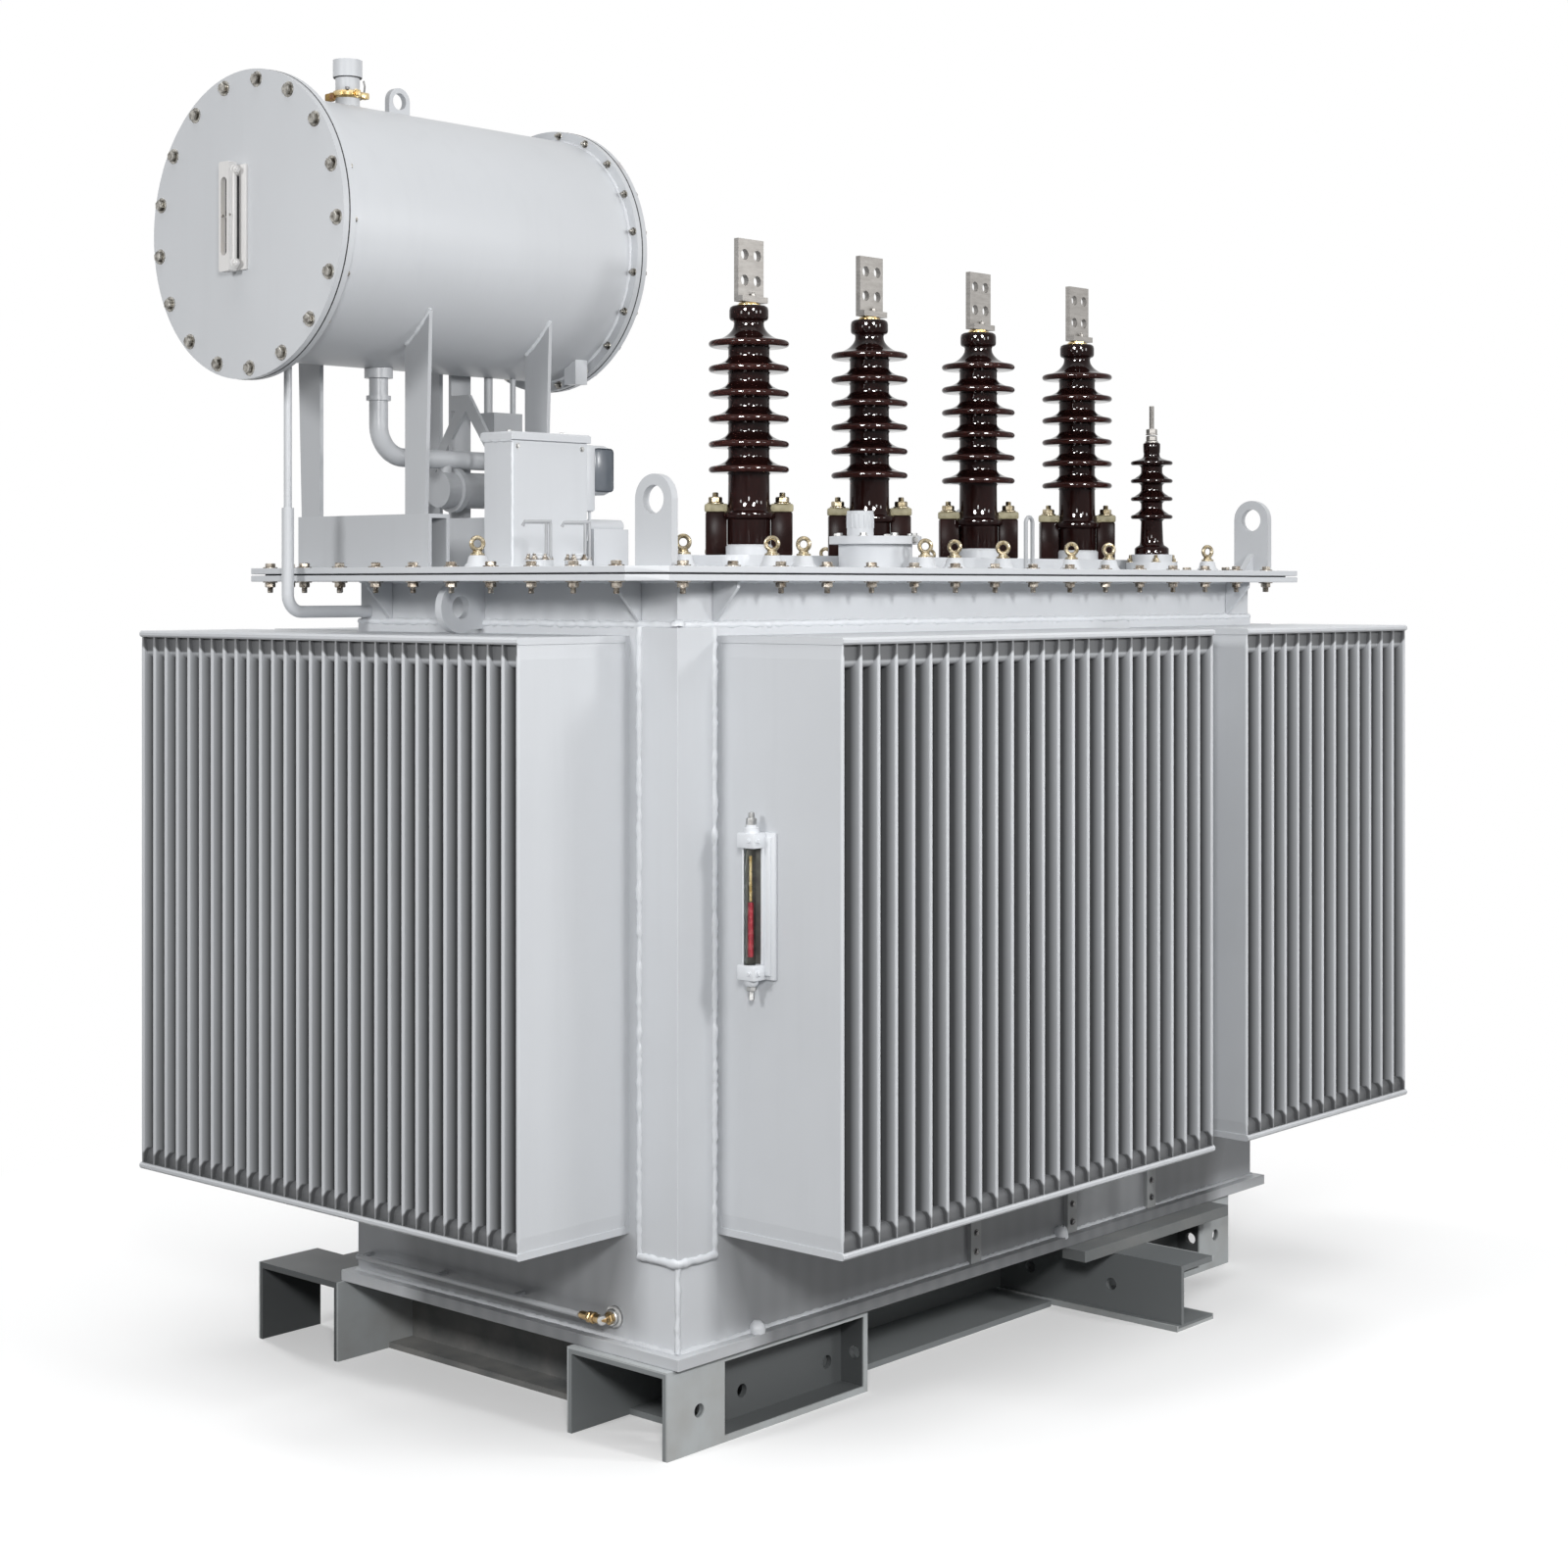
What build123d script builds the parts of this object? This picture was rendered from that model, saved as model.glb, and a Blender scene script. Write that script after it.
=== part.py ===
"""Oil-filled power transformer with finned tank walls and a conservator on the lid.

Millimetres. X runs along the long front wall, Y to the back, Z up.
Pieces are laid out from the tank's front left corner, then the whole is
centred so that the origin is under the middle of it, on the floor.
"""
import os
from build123d import *

# Tank: heights run up from the skids, and down from the top of the rim
TANK_L = 1950
TANK_W = 900
TANK_TOP = 1592
SKID_H = 160
BASE_T = 22
BASE_LIP = 24
NECK_H = 92
NECK_STEP = 4
GAP = 0.3

# Rim, gasket and lid
RIM_T = 12
GASKET_T = 3
GASKET_INSET = 20
LID_T = 12
LID_LEFT = 165
LID_RIGHT = 125
LID_FRONT = 85
LID_BACK = 190
LID_CORNER = 55
LID_Z = TANK_TOP + GASKET_T + LID_T
RIM_Z = TANK_TOP - RIM_T

# Fin banks
FIN_Z0 = SKID_H + 222
FIN_Z1 = TANK_TOP - 112
FIN_PLATE = 13
FIN_SHEET = 10
FIN_T = 9
FIN_PINCH = 0.5
FIN_PINCH_H = 26
FIN_REACH = 4
FIN_EDGE = 4
FIN_HOOD = (28, 42)
FIN_HOOD_BACK = 10
FIN_HOOD_R = 16
FIN_PITCH = 49.5
FIN_PITCH_LEFT = 38.5
LEFT_DEPTH = 280
FRONT_DEPTH = 305
END_DEPTH = 194
REAR_DEPTH = 354
LEFT_INSET = 123
FRONT_INSET = 104
FRONT_GAP = 130
FRONT2_L = 700
BANK_INSET = 60

# Corner columns
COLUMN_W = 92
COLUMN_T = 6
COLUMN_DROP = 36
COLUMN_RISE = 16
COLUMN_CLEAR = 28

# Lugs
LUG_T = 16
LUG_W = 92
LUG_H = 166
LUG_HOLE = 52
LUG_FRONT_Y = 12
LUG_LEFT_X = -43
LUG_INSET = 30
LUG_RIB = 40
NECK_LUG_T = 18
NECK_LUG_OUT = 112
NECK_LUG_Y = 530
NECK_LUG_HOLE = 44
NECK_LUG_R = 50
NECK_LUG_H = 92
GUSSET_T = 8
GUSSET_H = 80
GUSSET_OUT = 62
GUSSET_TOE = 12
GUSSET_INSET = 100

# Underframe
SKID_T = 12
SKID_X0 = -41
SKID_SHORT = 118
SKID_W = 258
SKID_FRONT_Y = -13
SKID_REAR_GAP = 14
SKID_CAP = 152
SKID_CAP_RIGHT = 112
SKID_RECESS = 88
TOW_HOLE = 26
TOW_DX = 8
TOW_Z = 74
STUB_L = 410
STUB_DEPTH = 70
STUB_HOLES = (110, 356)
STUB_HOLE_Z = 58
CROSS_X = 93
CROSS_W = 75
BEAM_BACK = 685
BEAM_W = 140
BEAM_OUT = 242
BEAM_WEB = 10
BEAM_TOE = 16
BEAM_FLANGE = 12
BEAM_HOLES = (-64, 151)
BAR_H = 24
BAR_D = 50
BAR_OVER = 95
BAR_L = 565

# Conservator, its saddles and stay
CON_X0 = -345
CON_L = 814
CON_INSET = 85
CON_RISE = 656
CON_R = 256
CON_WALL = 8
CON_FLANGE_R = 296
CON_REAR_R = 277
CON_COVER_T = 14
POST_T = 9
POST_IN = 132
POST_FOOT = 191
POST_HEAD = 209
SADDLE_H = 105
SADDLE_W = 54
SADDLE_T = 8
SADDLE_HALF = 202
SADDLE_X = (-60, 214)
STAY_T = 8
STAY_W = 20
STAY_SPREAD = 188
STAY_DROP = 40
UPRIGHT_BACK = 44

# Conservator fittings
PIPE_R = 19
PIPE_X = -17
PIPE_DROP = 176
PIPE_BEND = 64
PIPE_END = 330
RELAY_X = 140
RELAY_L = 130
RELAY_R = 37
RELAY_RING_R = 46
RELAY_RING_X = 34
RELAY_DROP = 62
RELAY_NECK_R = 15
BREATHER_X = 274
BREATHER_L = 80
BREATHER_D = 44
BREATHER_H = 46
BREATHER_DROP = 74
BREATHER_TUBES = ((12, 9, 9), (64, -10, 6))
BOSS_X = 400
BOSS_Y = -118
BOSS_W = 34
BOSS_H = 42
FILLER_X = -96
FILLER_R = 24
FILLER_H = 60
FILLER_CAP_R = 29
FILLER_CAP_H = 34
EYE_X = 32
EYE_R = 27
EYE_H = 30
EYE_HOLE_R = 17
DRAIN_R = 8
DRAIN_SLEEVE_R = 12
DRAIN_SLEEVE_H = 118
DRAIN_X = -200
DRAIN_Y = 56
DRAIN_FALL = 72
DRAIN_BEND = 34
CGAUGE_H = 210
CGAUGE_W = 62
CGAUGE_OUT = 34
CGAUGE_END = 34
CGAUGE_Y = 22
CGAUGE_Z = 14

# Terminal box, dial and fittings on the lid
BOX_X = 10
BOX_AHEAD = 365
BOX_L = 200
BOX_D = 80
BOX_H = 246
BOX_LID_T = 16
BOX_LIP = 6
DIAL_L = 88
DIAL_D = 60
DIAL_H = 100
DIAL_CUT = 18
GLAND_L = 130
GLAND_R = 13
FITTING_X = (-60, 41)
FITTING_AHEAD = 150
FITTING_R = 13
FITTING_H = 26
POCKET_X = 706
POCKET_Y = 120
POCKET_R = 94
POCKET_BOSS = 49
POCKET_PLATE = 16
POCKET_TUBE_R = 27
POCKET_TUBE_H = 51
POCKET_TUBE_DX = -48

# Bushings
BUSH_Y = 300
BUSH_X0 = 521
BUSH_PITCH = 383
BUSH_COUNT = 4
DECK_T = 26
DECK_X0 = 392
DECK_Y0 = 215
DECK_Y1 = 520
DECK_END = 145
DECK_CORNER = 40
BUSH_BASE_R = 50
BUSH_BASE_H = 22
SKIRT_R = 44
SKIRT_H = 66
SKIRT_RING_R = 56
SKIRT_RING_H = 14
CLAMP_H = 40
CLAMP_T = 14
CLAMP_W = 34
CLAMP_R = 90
LEG_GAP = 2
BODY_R = 42
SHED_R = 82
SHED_COUNT = 6
SHED_PITCH = 51
SHED_START = 46
CROWN_R = 40
CROWN_NECK_R = 31
CROWN_H = 52
NUT_R = 22
NUT_H = 6
FLAG_W = 76
FLAG_H = 128
FLAG_T = 12
FLAG_FOOT = 18
FLAG_HOLE_R = 11
FLAG_DX = 38
FLAG_DZ = 52
FLAG_HOLE_UP = 6
SMALL_X = 1759
SMALL_Y = 150
SMALL_BASE_R = 60
SMALL_BASE_H = 20
SMALL_RING_R = 48
SMALL_RING_H = 36
SMALL_BODY_R = 27
SMALL_SHED_R = 49
SMALL_SHED_COUNT = 4
SMALL_SHED_PITCH = 42
SMALL_SHED_START = 70
SMALL_CROWN_R = 20
SMALL_CROWN_H = 48
STUD_NUT_R = 13
STUD_NUT_H = 38
STUD_R = 6
STUD_H = 48

# Tank fittings
GAUGE_H = 266
GAUGE_W = 42
GAUGE_D = 42
GAUGE_PLATE = 8
GAUGE_END = 28
GAUGE_Y = -108
GAUGE_SPREAD = 20
GAUGE_UP = 612
VALVE_Y = 160
VALVE_UP = 40
VALVE_R = 24
VALVE_T = 14
VALVE_STEM_R = 13
VALVE_L = 62
LINE_R = 5.5
LINE_OUT = 34
LINE_INSET = 40
PAD_SPOTS = (0.448, 0.622, 0.778)
PAD_H = 86
PAD_W = 34
PAD_T = 10


def block(x0, x1, y0, y1, z0, z1):
    """A plain block between two corners."""
    centre = Pos((x0 + x1) / 2, (y0 + y1) / 2, (z0 + z1) / 2)
    return centre * Box(x1 - x0, y1 - y0, z1 - z0)


def rod_x(x0, x1, y, z, r):
    """A round bar along X."""
    return Pos((x0 + x1) / 2, y, z) * Rot(0, 90, 0) * Cylinder(r, x1 - x0)


def rod_y(x, y0, y1, z, r):
    """A round bar along Y."""
    return Pos(x, (y0 + y1) / 2, z) * Rot(90, 0, 0) * Cylinder(r, y1 - y0)


def rod_z(x, y, z0, z1, r):
    """A round bar along Z."""
    return Pos(x, y, (z0 + z1) / 2) * Cylinder(r, z1 - z0)


def fin_section(width, reach, z):
    """The plan of one fin: a flat leaf with a round tip, standing out to -Y."""
    half = width / 2
    sides = Polyline((-half, -reach + half), (-half, -FIN_SHEET), (half, -FIN_SHEET), (half, -reach + half))
    tip = ThreePointArc((half, -reach + half), (0, -reach), (-half, -reach + half))
    return Pos(0, 0, z) * make_face(sides + tip)


def fin_bank(length, depth, nominal_pitch):
    """Fins along X from 0 on a wall sheet; hoods close the valleys under the edge plates."""
    count = max(2, int((length - FIN_T) / nominal_pitch) + 1)
    pitch = (length - FIN_T) / (count - 1)
    reach = depth - FIN_REACH
    z0 = FIN_Z0 + FIN_PLATE
    z1 = FIN_Z1 - FIN_PLATE
    full_low = fin_section(FIN_T, reach, z0 + FIN_PINCH_H)
    full_high = fin_section(FIN_T, reach, z1 - FIN_PINCH_H)
    pinched_low = fin_section(FIN_T * FIN_PINCH, reach, z0)
    pinched_high = fin_section(FIN_T * FIN_PINCH, reach, z1)
    fin = extrude(full_low, z1 - z0 - 2 * FIN_PINCH_H, dir=(0, 0, 1))
    fin += loft([pinched_low, full_low])
    fin += loft([full_high, pinched_high])
    bank = block(0, length, -FIN_SHEET, 0, FIN_Z0, FIN_Z1)
    for z in (FIN_Z0, z1):
        plate = block(0, length, -depth, 0, z, z + FIN_PLATE)
        rim = plate.faces().sort_by(Axis.Y)[0].edges().filter_by(Axis.X)
        bank += chamfer(rim, FIN_EDGE)
    inner = FIN_T / 2
    front = -reach + FIN_HOOD_BACK
    low_hood = block(inner, length - inner, front, 0, z0, z0 + FIN_HOOD[0])
    low_lip = low_hood.faces().sort_by(Axis.Y)[0].edges().sort_by(Axis.Z)[-1]
    high_hood = block(inner, length - inner, front, 0, z1 - FIN_HOOD[1], z1)
    high_lip = high_hood.faces().sort_by(Axis.Y)[0].edges().sort_by(Axis.Z)[0]
    bank += fillet(low_lip, FIN_HOOD_R)
    bank += fillet(high_lip, FIN_HOOD_R)
    return bank + [Pos(FIN_T / 2 + i * pitch, 0, 0) * fin for i in range(count)]


def lid_sheet(z0, z1, inset):
    """A sheet of the lid's outline with cut corners, drawn in by an inset."""
    x0 = -LID_LEFT + inset
    x1 = TANK_L + LID_RIGHT - inset
    y0 = -LID_FRONT + inset
    y1 = TANK_W + LID_BACK - inset
    sheet = block(x0, x1, y0, y1, z0, z1)
    return chamfer(sheet.edges().filter_by(Axis.Z), LID_CORNER)


def turned(points):
    """A body turned about Z from (radius, height) points."""
    wire = Polyline(*[(r, 0, z) for r, z in points], close=True)
    return revolve(make_face(wire), Axis.Z)


def shed_profile(body_r, shed_r, pitch, count, z0, start):
    """Radius and height pairs of a shedded stem; each shed slopes down to a thin rim."""
    points = [(body_r, z0)]
    for i in range(count):
        rim = z0 + start + i * pitch
        points += [(body_r, rim - 2), (shed_r - 4, rim - 5), (shed_r, rim - 3), (shed_r, rim + 2)]
        points += [(body_r + 9, rim + pitch * 0.27), (body_r, rim + pitch * 0.4)]
    return points


def lug(width, height, thick, hole_r):
    """A round-headed plate in the YZ plane, standing on z = 0."""
    r = width / 2
    body = block(-thick / 2, thick / 2, -r, r, 0, height - r)
    body += rod_x(-thick / 2, thick / 2, 0, height - r, r)
    return body - rod_x(-thick, thick, 0, height - r, hole_r)


nodes = {}

# Tank with its narrower neck, and the plate it stands on
body = block(0, TANK_L, 0, TANK_W, SKID_H + BASE_T, TANK_TOP - NECK_H)
neck_x1 = TANK_L - NECK_STEP
neck_y1 = TANK_W - NECK_STEP
body += block(NECK_STEP, neck_x1, NECK_STEP, neck_y1, TANK_TOP - NECK_H, RIM_Z)
nodes["tank_body"] = body
nodes["tank_base_plate"] = block(
    -BASE_LIP, TANK_L + BASE_LIP, -BASE_LIP, TANK_W + BASE_LIP, SKID_H, SKID_H + BASE_T
)

# Folded columns at the two open corners
column_z0 = FIN_Z0 - COLUMN_DROP
column_z1 = FIN_Z1 + COLUMN_RISE
angle = block(-COLUMN_T, COLUMN_W, -COLUMN_T, 0, column_z0, column_z1)
angle += block(-COLUMN_T, 0, 0, COLUMN_W, column_z0, column_z1)
nodes["corner_columns"] = Compound([angle, Pos(TANK_L, TANK_W, 0) * Rot(0, 0, 180) * angle])

# Fin banks: the left and front banks run on past the tank to cover the next bank's depth
left_y1 = TANK_W + REAR_DEPTH
front2_x1 = TANK_L + END_DEPTH
front2_x0 = front2_x1 - FRONT2_L
front_x1 = front2_x0 - FRONT_GAP
end_y1 = TANK_W - COLUMN_W - COLUMN_CLEAR
rear_x1 = TANK_L - COLUMN_W - COLUMN_CLEAR
left_bank = fin_bank(left_y1 - LEFT_INSET, LEFT_DEPTH, FIN_PITCH_LEFT)
nodes["left_fin_bank"] = Pos(0, left_y1, 0) * Rot(0, 0, -90) * left_bank
front_bank = fin_bank(front_x1 - FRONT_INSET, FRONT_DEPTH, FIN_PITCH)
nodes["front_fin_bank"] = Pos(FRONT_INSET, 0, 0) * front_bank
nodes["front_fin_bank_right"] = Pos(front2_x0, 0, 0) * fin_bank(FRONT2_L, FRONT_DEPTH, FIN_PITCH)
end_bank = fin_bank(end_y1 - BANK_INSET, END_DEPTH, FIN_PITCH)
nodes["end_fin_bank"] = Pos(TANK_L, BANK_INSET, 0) * Rot(0, 0, 90) * end_bank
rear_bank = fin_bank(rear_x1 - BANK_INSET, REAR_DEPTH, FIN_PITCH)
nodes["rear_fin_bank"] = Pos(rear_x1, TANK_W, 0) * Rot(0, 0, 180) * rear_bank

# Rim flange, gasket and lid
nodes["tank_rim"] = lid_sheet(RIM_Z, TANK_TOP, 0)
nodes["lid_gasket"] = lid_sheet(TANK_TOP, TANK_TOP + GASKET_T, GASKET_INSET)
nodes["lid"] = lid_sheet(TANK_TOP + GASKET_T, LID_Z, 0)

# Gussets under the rim, standing out from the neck on all four sides
profile = Polyline(
    (0, 0), (0, -GUSSET_H), (-GUSSET_OUT, -GUSSET_TOE), (-GUSSET_OUT, 0), close=True
)
gusset = extrude(Plane.XZ * make_face(profile), GUSSET_T / 2, both=True)
gussets = []
for y in (GUSSET_INSET, TANK_W - GUSSET_INSET):
    gussets.append(Pos(NECK_STEP, y, RIM_Z) * gusset)
    gussets.append(Pos(neck_x1, y, RIM_Z) * Rot(0, 0, 180) * gusset)
for x in (GUSSET_INSET, TANK_L - GUSSET_INSET):
    gussets.append(Pos(x, NECK_STEP, RIM_Z) * Rot(0, 0, 90) * gusset)
    gussets.append(Pos(x, neck_y1, RIM_Z) * Rot(0, 0, -90) * gusset)
nodes["rim_gussets"] = Compound(gussets)

# Hauling lugs on the neck at both ends
hole_x = -NECK_LUG_OUT + NECK_LUG_R
neck_lug = block(hole_x, 0, -NECK_LUG_T / 2, NECK_LUG_T / 2, -NECK_LUG_H, 0)
neck_lug += rod_y(hole_x, -NECK_LUG_T / 2, NECK_LUG_T / 2, -NECK_LUG_R, NECK_LUG_R)
neck_lug -= rod_y(hole_x, -NECK_LUG_T, NECK_LUG_T, -NECK_LUG_R, NECK_LUG_HOLE / 2)
neck_lug -= block(-NECK_STEP, 1, -NECK_LUG_T, NECK_LUG_T, -2 * NECK_LUG_H, RIM_T - NECK_H)
nodes["neck_lugs"] = Compound([
    Pos(NECK_STEP, NECK_LUG_Y, RIM_Z) * neck_lug,
    Pos(neck_x1, NECK_LUG_Y, RIM_Z) * Rot(0, 0, 180) * neck_lug,
])

# Lifting lugs on the lid, each with a rib behind its foot
lid_lug = lug(LUG_W, LUG_H, LUG_T, LUG_HOLE / 2)
rib_face = make_face(Polyline((0, 0), (LUG_RIB, 0), (0, LUG_RIB), close=True))
rib = extrude(Plane.XZ * rib_face, LUG_T / 2, both=True)
lid_lug += Pos(LUG_T / 2, 0, 0) * rib
lug_back_y = TANK_W - LUG_INSET
lug_right_x = TANK_L + LUG_INSET
lug_mid_x = CON_X0 + CON_L + LUG_W
spots = [
    (LUG_LEFT_X, LUG_FRONT_Y, 0),
    (lug_right_x, LUG_FRONT_Y, 180),
    (lug_mid_x, lug_back_y, 0),
    (lug_right_x, lug_back_y, 180),
]
nodes["lid_lifting_lugs"] = Compound([Pos(x, y, LID_Z) * Rot(0, 0, a) * lid_lug for x, y, a in spots])

# Skids: a channel on its side with an inverted U at each end
skid_x1 = TANK_L - SKID_SHORT
skid_l = skid_x1 - SKID_X0
beam_x = TANK_L - BEAM_BACK
right_cap_x = skid_l - SKID_CAP_RIGHT


def skid():
    """A skid along X from 0 with its open side to -Y."""
    under = SKID_H - SKID_T
    rail = block(0, skid_l, SKID_W - SKID_T, SKID_W, 0, under)
    top = block(0, skid_l, 0, SKID_W, under, SKID_H)
    top -= block(SKID_CAP, right_cap_x, -SKID_T, SKID_RECESS, under - SKID_T, SKID_H + SKID_T)
    rail += top
    rail += block(SKID_CAP, right_cap_x, SKID_RECESS, SKID_W - SKID_T, 0, SKID_T)
    rail += block(0, SKID_CAP, 0, SKID_T, 0, under)
    return rail + block(right_cap_x, skid_l, 0, SKID_T, 0, under)


skid_rear_y = TANK_W + SKID_REAR_GAP
tow_spots = (SKID_CAP / 2 + TOW_DX, right_cap_x + SKID_CAP_RIGHT / 2)
front_rail = skid()
beam_cut = beam_x - SKID_X0
front_rail -= block(beam_cut - SKID_T, beam_cut + BEAM_W + SKID_T, 0, SKID_W - SKID_T, -SKID_T, 2 * SKID_T)
for x in tow_spots:
    front_rail -= rod_y(x, -SKID_T, 2 * SKID_T, TOW_Z, TOW_HOLE / 2)
nodes["front_skid"] = Pos(SKID_X0, SKID_FRONT_Y, 0) * front_rail
nodes["rear_skid"] = Pos(SKID_X0, skid_rear_y + SKID_W, 0) * mirror(skid(), Plane.XZ)

# Short channels let into the front skid beside its ends
recess_y = SKID_FRONT_Y + SKID_RECESS
stub_y1 = SKID_FRONT_Y + STUB_DEPTH


def stub_channel(x0, x1):
    """A channel open to the front, with a plate across its right end and a strap back to the skid."""
    stub = block(x0, x1, SKID_FRONT_Y, stub_y1, 0, SKID_H)
    stub -= block(
        x0 - 1, x1 - SKID_T, SKID_FRONT_Y - 1, stub_y1 - SKID_T, SKID_T, SKID_H - SKID_T
    )
    stub -= rod_x(x1 - 2 * SKID_T, x1 + 1, SKID_FRONT_Y + SKID_T * 2, TOW_Z, TOW_HOLE / 2)
    return stub + block(x0, x1, stub_y1, recess_y, SKID_H - SKID_T, SKID_H)


stub_x0 = SKID_X0 + SKID_CAP
stub = stub_channel(stub_x0, stub_x0 + STUB_L)
for x in STUB_HOLES:
    stub -= rod_y(stub_x0 + x, SKID_FRONT_Y, stub_y1 + SKID_T, STUB_HOLE_Z, TOW_HOLE / 2)
right_stub = stub_channel(beam_x + BEAM_W + SKID_T, skid_x1 - SKID_CAP_RIGHT)
nodes["front_stub_channels"] = Compound([stub, right_stub])

# Channels across the frame at both ends, open outwards
cross_y0 = SKID_FRONT_Y + SKID_W
cross = block(0, CROSS_W, cross_y0, skid_rear_y, 0, SKID_H)
cross -= block(-1, CROSS_W - SKID_T, cross_y0 - 1, skid_rear_y + 1, SKID_T, SKID_H - SKID_T)
right_cross = Pos(skid_x1 - CROSS_X, 0, 0) * mirror(cross, Plane.YZ)
nodes["cross_channels"] = Compound([Pos(CROSS_X, 0, 0) * cross, right_cross])

# A channel beam under the front right that stands out to the front, and a bar packed on it
beam_h = SKID_H - BAR_H
beam_y1 = SKID_FRONT_Y + SKID_W - SKID_T
web_x = beam_x + BEAM_TOE
beam = block(beam_x, beam_x + BEAM_W, -BEAM_OUT, beam_y1, 0, BEAM_FLANGE)
beam += block(web_x, web_x + BEAM_WEB, -BEAM_OUT, beam_y1, BEAM_FLANGE, beam_h)
beam += block(web_x, beam_x + BEAM_W, -BEAM_OUT, beam_y1, beam_h - BEAM_FLANGE, beam_h)
for y in BEAM_HOLES:
    beam -= rod_x(beam_x, beam_x + BEAM_W, y, beam_h / 2, TOW_HOLE / 2)
nodes["front_beam"] = beam
bar_x = beam_x - BAR_OVER
nodes["front_packing_bar"] = block(
    bar_x, bar_x + BAR_L, -BASE_LIP - BAR_D, SKID_FRONT_Y, beam_h, SKID_H
)

# Conservator shell with its flanges, and the end covers
con_y = TANK_W - CON_INSET
con_z = LID_Z + CON_RISE
con_x1 = CON_X0 + CON_L
barrel_x0 = CON_X0 + CON_COVER_T
barrel_x1 = con_x1 - CON_COVER_T
shell = rod_x(barrel_x0, barrel_x1, con_y, con_z, CON_R)
shell += rod_x(barrel_x0, barrel_x0 + CON_COVER_T, con_y, con_z, CON_FLANGE_R)
shell += rod_x(barrel_x1 - CON_COVER_T, barrel_x1, con_y, con_z, CON_REAR_R)
shell -= rod_x(barrel_x0 - 1, barrel_x1 + 1, con_y, con_z, CON_R - CON_WALL)
nodes["conservator_shell"] = shell
nodes["conservator_front_cover"] = rod_x(CON_X0, barrel_x0, con_y, con_z, CON_FLANGE_R)
nodes["conservator_rear_cover"] = rod_x(barrel_x1, con_x1, con_y, con_z, CON_REAR_R)
clear = rod_x(CON_X0, con_x1, con_y, con_z, CON_R + GAP)
con_foot = con_z - CON_R
con_crown = con_z + CON_R

# Saddle channels on the lid, and plate posts on them cut to the shell
post_z0 = LID_Z + SADDLE_H
saddle = block(0, SADDLE_W, -SADDLE_HALF, SADDLE_HALF, 0, SADDLE_H)
saddle -= block(
    SADDLE_T, SADDLE_W - SADDLE_T, -SADDLE_HALF - 1, SADDLE_HALF + 1, -1, SADDLE_H - SADDLE_T
)
nodes["conservator_saddles"] = Compound([Pos(x, con_y, LID_Z) * saddle for x in SADDLE_X])
post_face = make_face(Polyline(
    (-POST_FOOT, post_z0), (-POST_IN, post_z0), (-POST_IN, con_z), (-POST_HEAD, con_z), close=True
))
post = extrude(Plane.YZ * post_face, POST_T)
posts = []
for x in (SADDLE_X[0], SADDLE_X[1] + SADDLE_W - POST_T):
    posts.append(Pos(x, con_y, 0) * post - clear)
    posts.append(Pos(x, con_y, 0) * mirror(post, Plane.XZ) - clear)
nodes["conservator_posts"] = Compound(posts)

# A stay on the second saddle: two leaning flats that meet under the shell, and an upright behind
apex_z = con_foot - STAY_DROP
lean = STAY_W * 1.6
stay_face = make_face(Polyline(
    (-STAY_SPREAD, post_z0),
    (-STAY_SPREAD + STAY_W, post_z0),
    (0, apex_z - lean),
    (STAY_SPREAD - STAY_W, post_z0),
    (STAY_SPREAD, post_z0),
    (STAY_W / 2, apex_z),
    (-STAY_W / 2, apex_z),
    close=True,
))
stay_x = SADDLE_X[1]
upright = block(
    stay_x, stay_x + SADDLE_W, UPRIGHT_BACK, UPRIGHT_BACK + STAY_T, post_z0, con_foot + STAY_W
)
legs = extrude(Plane.YZ * stay_face, STAY_T)
legs += block(0, STAY_T, 0, UPRIGHT_BACK, apex_z - lean, apex_z)
nodes["conservator_stay"] = Pos(stay_x, con_y, 0) * legs + Pos(0, con_y, 0) * upright - clear

# Oil pipe from the conservator, round a bend, along and down to the lid
pipe_z = con_foot - PIPE_DROP
bend_z = pipe_z + PIPE_BEND
down = rod_z(PIPE_X, con_y, bend_z, con_foot + PIPE_R, PIPE_R)
down += rod_z(PIPE_X, con_y, con_foot - PIPE_R, con_foot + PIPE_R, PIPE_R * 1.5)
down += rod_z(PIPE_X, con_y, con_foot - PIPE_BEND, con_foot - PIPE_BEND + PIPE_R / 2, PIPE_R * 1.3)
elbow_at = Plane((PIPE_X, con_y, bend_z), x_dir=(1, 0, 0), z_dir=(0, 0, 1))
elbow = revolve(elbow_at * Circle(PIPE_R), Axis((PIPE_X + PIPE_BEND, con_y, bend_z), (0, -1, 0)), 90)
along = rod_x(PIPE_X + PIPE_BEND, PIPE_END, con_y, pipe_z, PIPE_R)
along += Pos(PIPE_END, con_y, pipe_z) * Sphere(PIPE_R)
along += rod_z(PIPE_END, con_y, LID_Z, pipe_z, PIPE_R)
along += rod_z(PIPE_END, con_y, LID_Z, LID_Z + CON_COVER_T, PIPE_R * 2)
nodes["conservator_pipe"] = down + elbow + along - clear

# Gas relay drum hung under the pipe
relay_z = pipe_z - RELAY_DROP
ring_x = RELAY_X + RELAY_RING_X
relay = rod_x(RELAY_X, RELAY_X + RELAY_L, con_y, relay_z, RELAY_R)
relay += rod_x(ring_x, ring_x + CON_COVER_T, con_y, relay_z, RELAY_RING_R)
relay += rod_z((RELAY_X + ring_x) / 2, con_y, relay_z, pipe_z, RELAY_NECK_R)
nodes["gas_relay"] = relay - rod_x(RELAY_X, PIPE_END, con_y, pipe_z, PIPE_R + GAP)

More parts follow.
